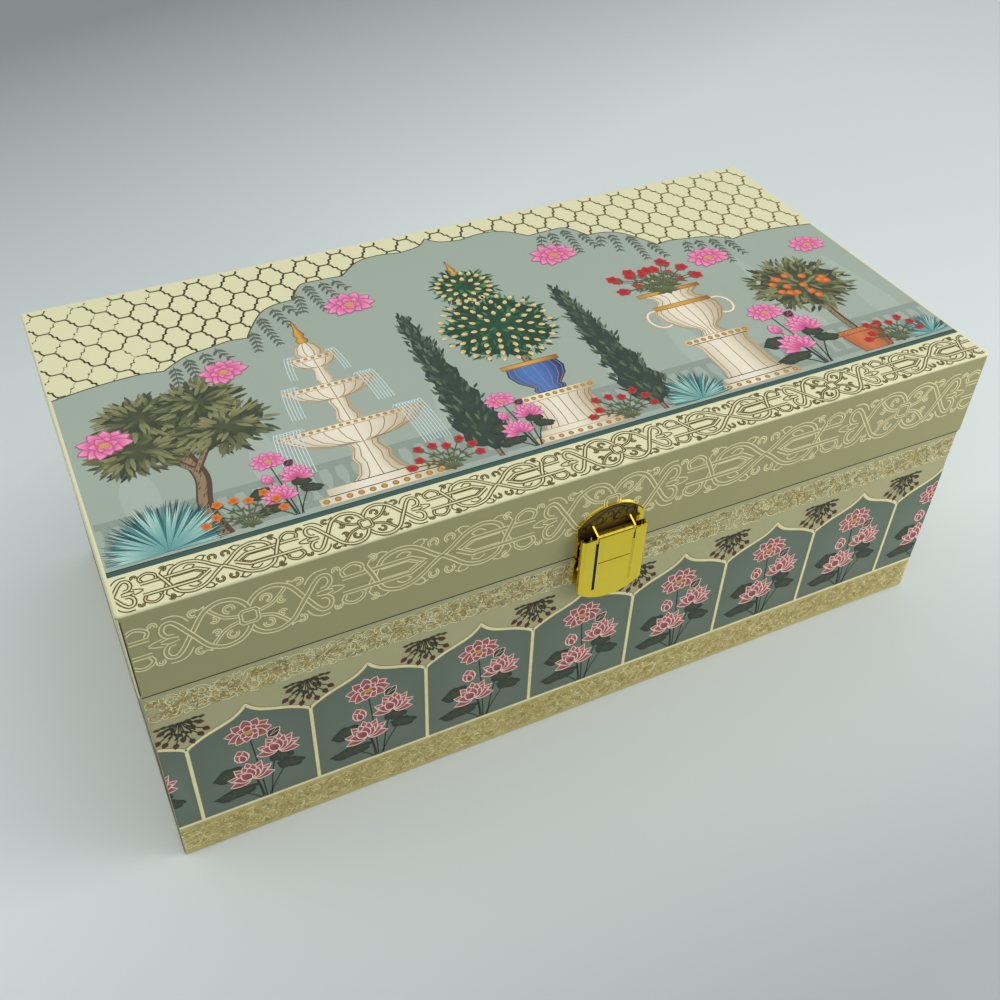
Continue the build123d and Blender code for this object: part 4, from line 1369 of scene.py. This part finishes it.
# %% Painted reflections, highlights and shade on the clasp
reflection_finish = Finish("brass_with_painted_reflections")
painted_reflection_brass = metal(reflection_finish, ink_laid(reflection_finish), 0.34, pure=PAINTED_REFLECTION_PURITY)
PAINTED_REFLECTION_DARK = linear(92, 76, 34)
PAINTED_REFLECTION_LIGHTER = linear(138, 116, 48)
PAINTED_DARK_REFLECTION_AND_SHADE = linear(26, 18, 10)
PAINTED_OLIVE_REFLECTION = linear(138, 124, 34)
PAINTED_EDGE_HIGHLIGHT = linear(255, 240, 150)
PAINTED_LIGHT_IN_SLIT = linear(220, 194, 66)
PAINTED_CREASE_SHADE = linear(70, 48, 12)
EAR_PATH = 76.8
PLATE_FRONT_Y, FLAP_FRONT_Y, WING_TOP_Z = -0.06995, -0.07335, 0.0807
PIN_Y, PIN_Z, KNUCKLE, BEND, SHELF = -71.65, 79.8, 1.36, 1.2, 0.5
flap_face = Face((0, FLAP_FRONT_Y, 0), X, Z)
wing_top = Face((0, 0, WING_TOP_Z), X, Y)
plate_painted_reflection = Drawing(Face((0, PLATE_FRONT_Y, 0), X, Z))
plate_centre = 88.9 - 13.25
head = arc(0, plate_centre, 13.1, 50.5, 142.4, 26)
# Painted reflection: the plate is painted dark where it mirrors the room, with the foil scrolls it
# mirrors.
plate_painted_reflection.shade([*head, (-10.4, 78.4), (8.3, 78.4)], (-2, 84), 1, PAINTED_REFLECTION_DARK, PAINTED_REFLECTION_LIGHTER)
plate_painted_reflection.line(arc(0, plate_centre, 13.0, 38, 142.4, 26), 0.28, 2.0, PAINTED_DARK_REFLECTION_AND_SHADE)
long_scroll = [(-9.6, 82.9), (-7.0, 84.3), (-4.4, 85.9), (-1.6, 87.4), (1.0, 87.9), (4.0, 87.2)]
scrolls = [
    smooth(long_scroll), arc(-3.9, 84.4, 1.1, -70, 210), arc(-0.6, 85.7, 1.0, -120, 170),
    arc(1.6, 84.2, 1.2, 20, 300), arc(3.9, 86.0, 0.9, -90, 200), arc(5.9, 84.6, 1.3, -60, 220),
    arc(-7.4, 83.0, 1.0, -20, 230),
    smooth([(-6.2, 82.4), (-4.9, 83.0), (-2.6, 83.2), (-1.6, 84.8)]),
    smooth([(0.6, 82.6), (1.0, 84.4), (2.4, 86.6)]),
    smooth([(6.6, 86.4), (7.6, 85.0), (8.1, 83.0)]),
    smooth([(2.8, 82.6), (4.2, 83.0), (5.2, 82.2)]),
]
for number, path in enumerate(scrolls):
    plate_painted_reflection.line(path, 0.36, 2.1 + number * THREAD, PAINTED_DARK_REFLECTION_AND_SHADE)
plate_painted_reflection.piece("clasp_plate_painted_reflection", "lid", painted_reflection_brass, "brass")


class Roll:
    """The curved top of the clasp's tongue: across, and backwards round the pin."""

    def point(self, u, v, layer):
        """Where a place on the drawing lies on the tongue, in metres."""
        lift = layer * LAYER
        if v >= 0:
            turn = v / KNUCKLE
            y = PIN_Y + math.sin(turn) * (KNUCKLE + lift)
            z = PIN_Z + math.cos(turn) * (KNUCKLE + lift)
        elif v >= -SHELF:
            y, z = PIN_Y + v, PIN_Z + KNUCKLE + lift
        else:
            turn = (-v - SHELF) / BEND
            y = PIN_Y - SHELF - math.sin(turn) * (BEND + lift)
            z = PIN_Z + KNUCKLE - BEND + math.cos(turn) * (BEND + lift)
        return Vector((u, y, z)) * MM


def wrap(draw, low, high, half_width, layer, first, last):
    """A strip over the curved top, in a colour that changes backwards."""
    rows = 12
    flat, colours = [], []
    for i in range(rows + 1):
        v = low + (high - low) * i / rows
        flat += [(-half_width, v), (half_width, v)]
        colours += [tone(first, last, i / rows)] * 2
    draw.add(flat, grid(rows, 1), layer, colours)


clasp_painted_light_and_shade = Drawing(Roll())
# Painted reflection on the curved top: olive at the front where it mirrors the lid's front, turning
# dark towards the back, with a dark painted band and dark reflected ribs.
wrap(clasp_painted_light_and_shade, -1.7, 1.9, 5.45, 0.5, PAINTED_OLIVE_REFLECTION, PAINTED_REFLECTION_DARK)
wrap(clasp_painted_light_and_shade, -2.0, -1.7, 5.5, 0.6, PAINTED_DARK_REFLECTION_AND_SHADE, PAINTED_DARK_REFLECTION_AND_SHADE)
for u, low, high in ((-3.6, -1.5, 1.2), (-0.4, -1.5, 1.6), (2.9, -1.3, 1.4)):
    rib = [(u + 0.3 * math.sin(v), v) for v in [low + (high - low) * i / 8 for i in range(9)]]
    clasp_painted_light_and_shade.line(rib, 0.22, 0.8, PAINTED_DARK_REFLECTION_AND_SHADE)
clasp_painted_light_and_shade.on(wing_top)
# Painted dark reflection of the rolled ends, laid on the wing tops in front of the pin.
for side in (-1, 1):
    rolled_end_reflection = [(side * 6.4, -70.9), (side * 10.1, -70.9), (side * 10.35, -71.6), (side * 6.4, -71.6)]
    clasp_painted_light_and_shade.fill(rolled_end_reflection, 1, PAINTED_DARK_REFLECTION_AND_SHADE)
clasp_painted_light_and_shade.on(flap_face)
# Painted shadow in the left slit, a painted highlight along the tongue's left edge, and painted
# light that fills the right slit.
for u, low, high, width, layer, colour in (
        (-5.95, 60.75, EAR_PATH, 1.0, 0.05, PAINTED_DARK_REFLECTION_AND_SHADE), (-6.39, EAR_PATH, 79.9, 0.13, 0.05, PAINTED_DARK_REFLECTION_AND_SHADE),
        (-5.51, EAR_PATH, 79.9, 0.13, 0.05, PAINTED_DARK_REFLECTION_AND_SHADE), (-5.36, 61.2, 79.7, 0.2, 0.15, PAINTED_EDGE_HIGHLIGHT),
        (5.95, 60.95, EAR_PATH, 0.7, 0.05, PAINTED_LIGHT_IN_SLIT), (5.64, EAR_PATH, 80.3, 0.11, 0.05, PAINTED_LIGHT_IN_SLIT),
        (6.26, EAR_PATH, 80.3, 0.11, 0.05, PAINTED_LIGHT_IN_SLIT)):
    clasp_painted_light_and_shade.line([(u, low), (u, high)], width, layer, colour)
# Painted shade along the crease.
clasp_painted_light_and_shade.line([(-5.5, 71.0), (0, 71.0), (5.3, 71.0)], 0.3, 0.1, PAINTED_CREASE_SHADE)
clasp_painted_light_and_shade.piece("clasp_flap_painted_light_and_shade", "clasp", painted_reflection_brass, "brass")
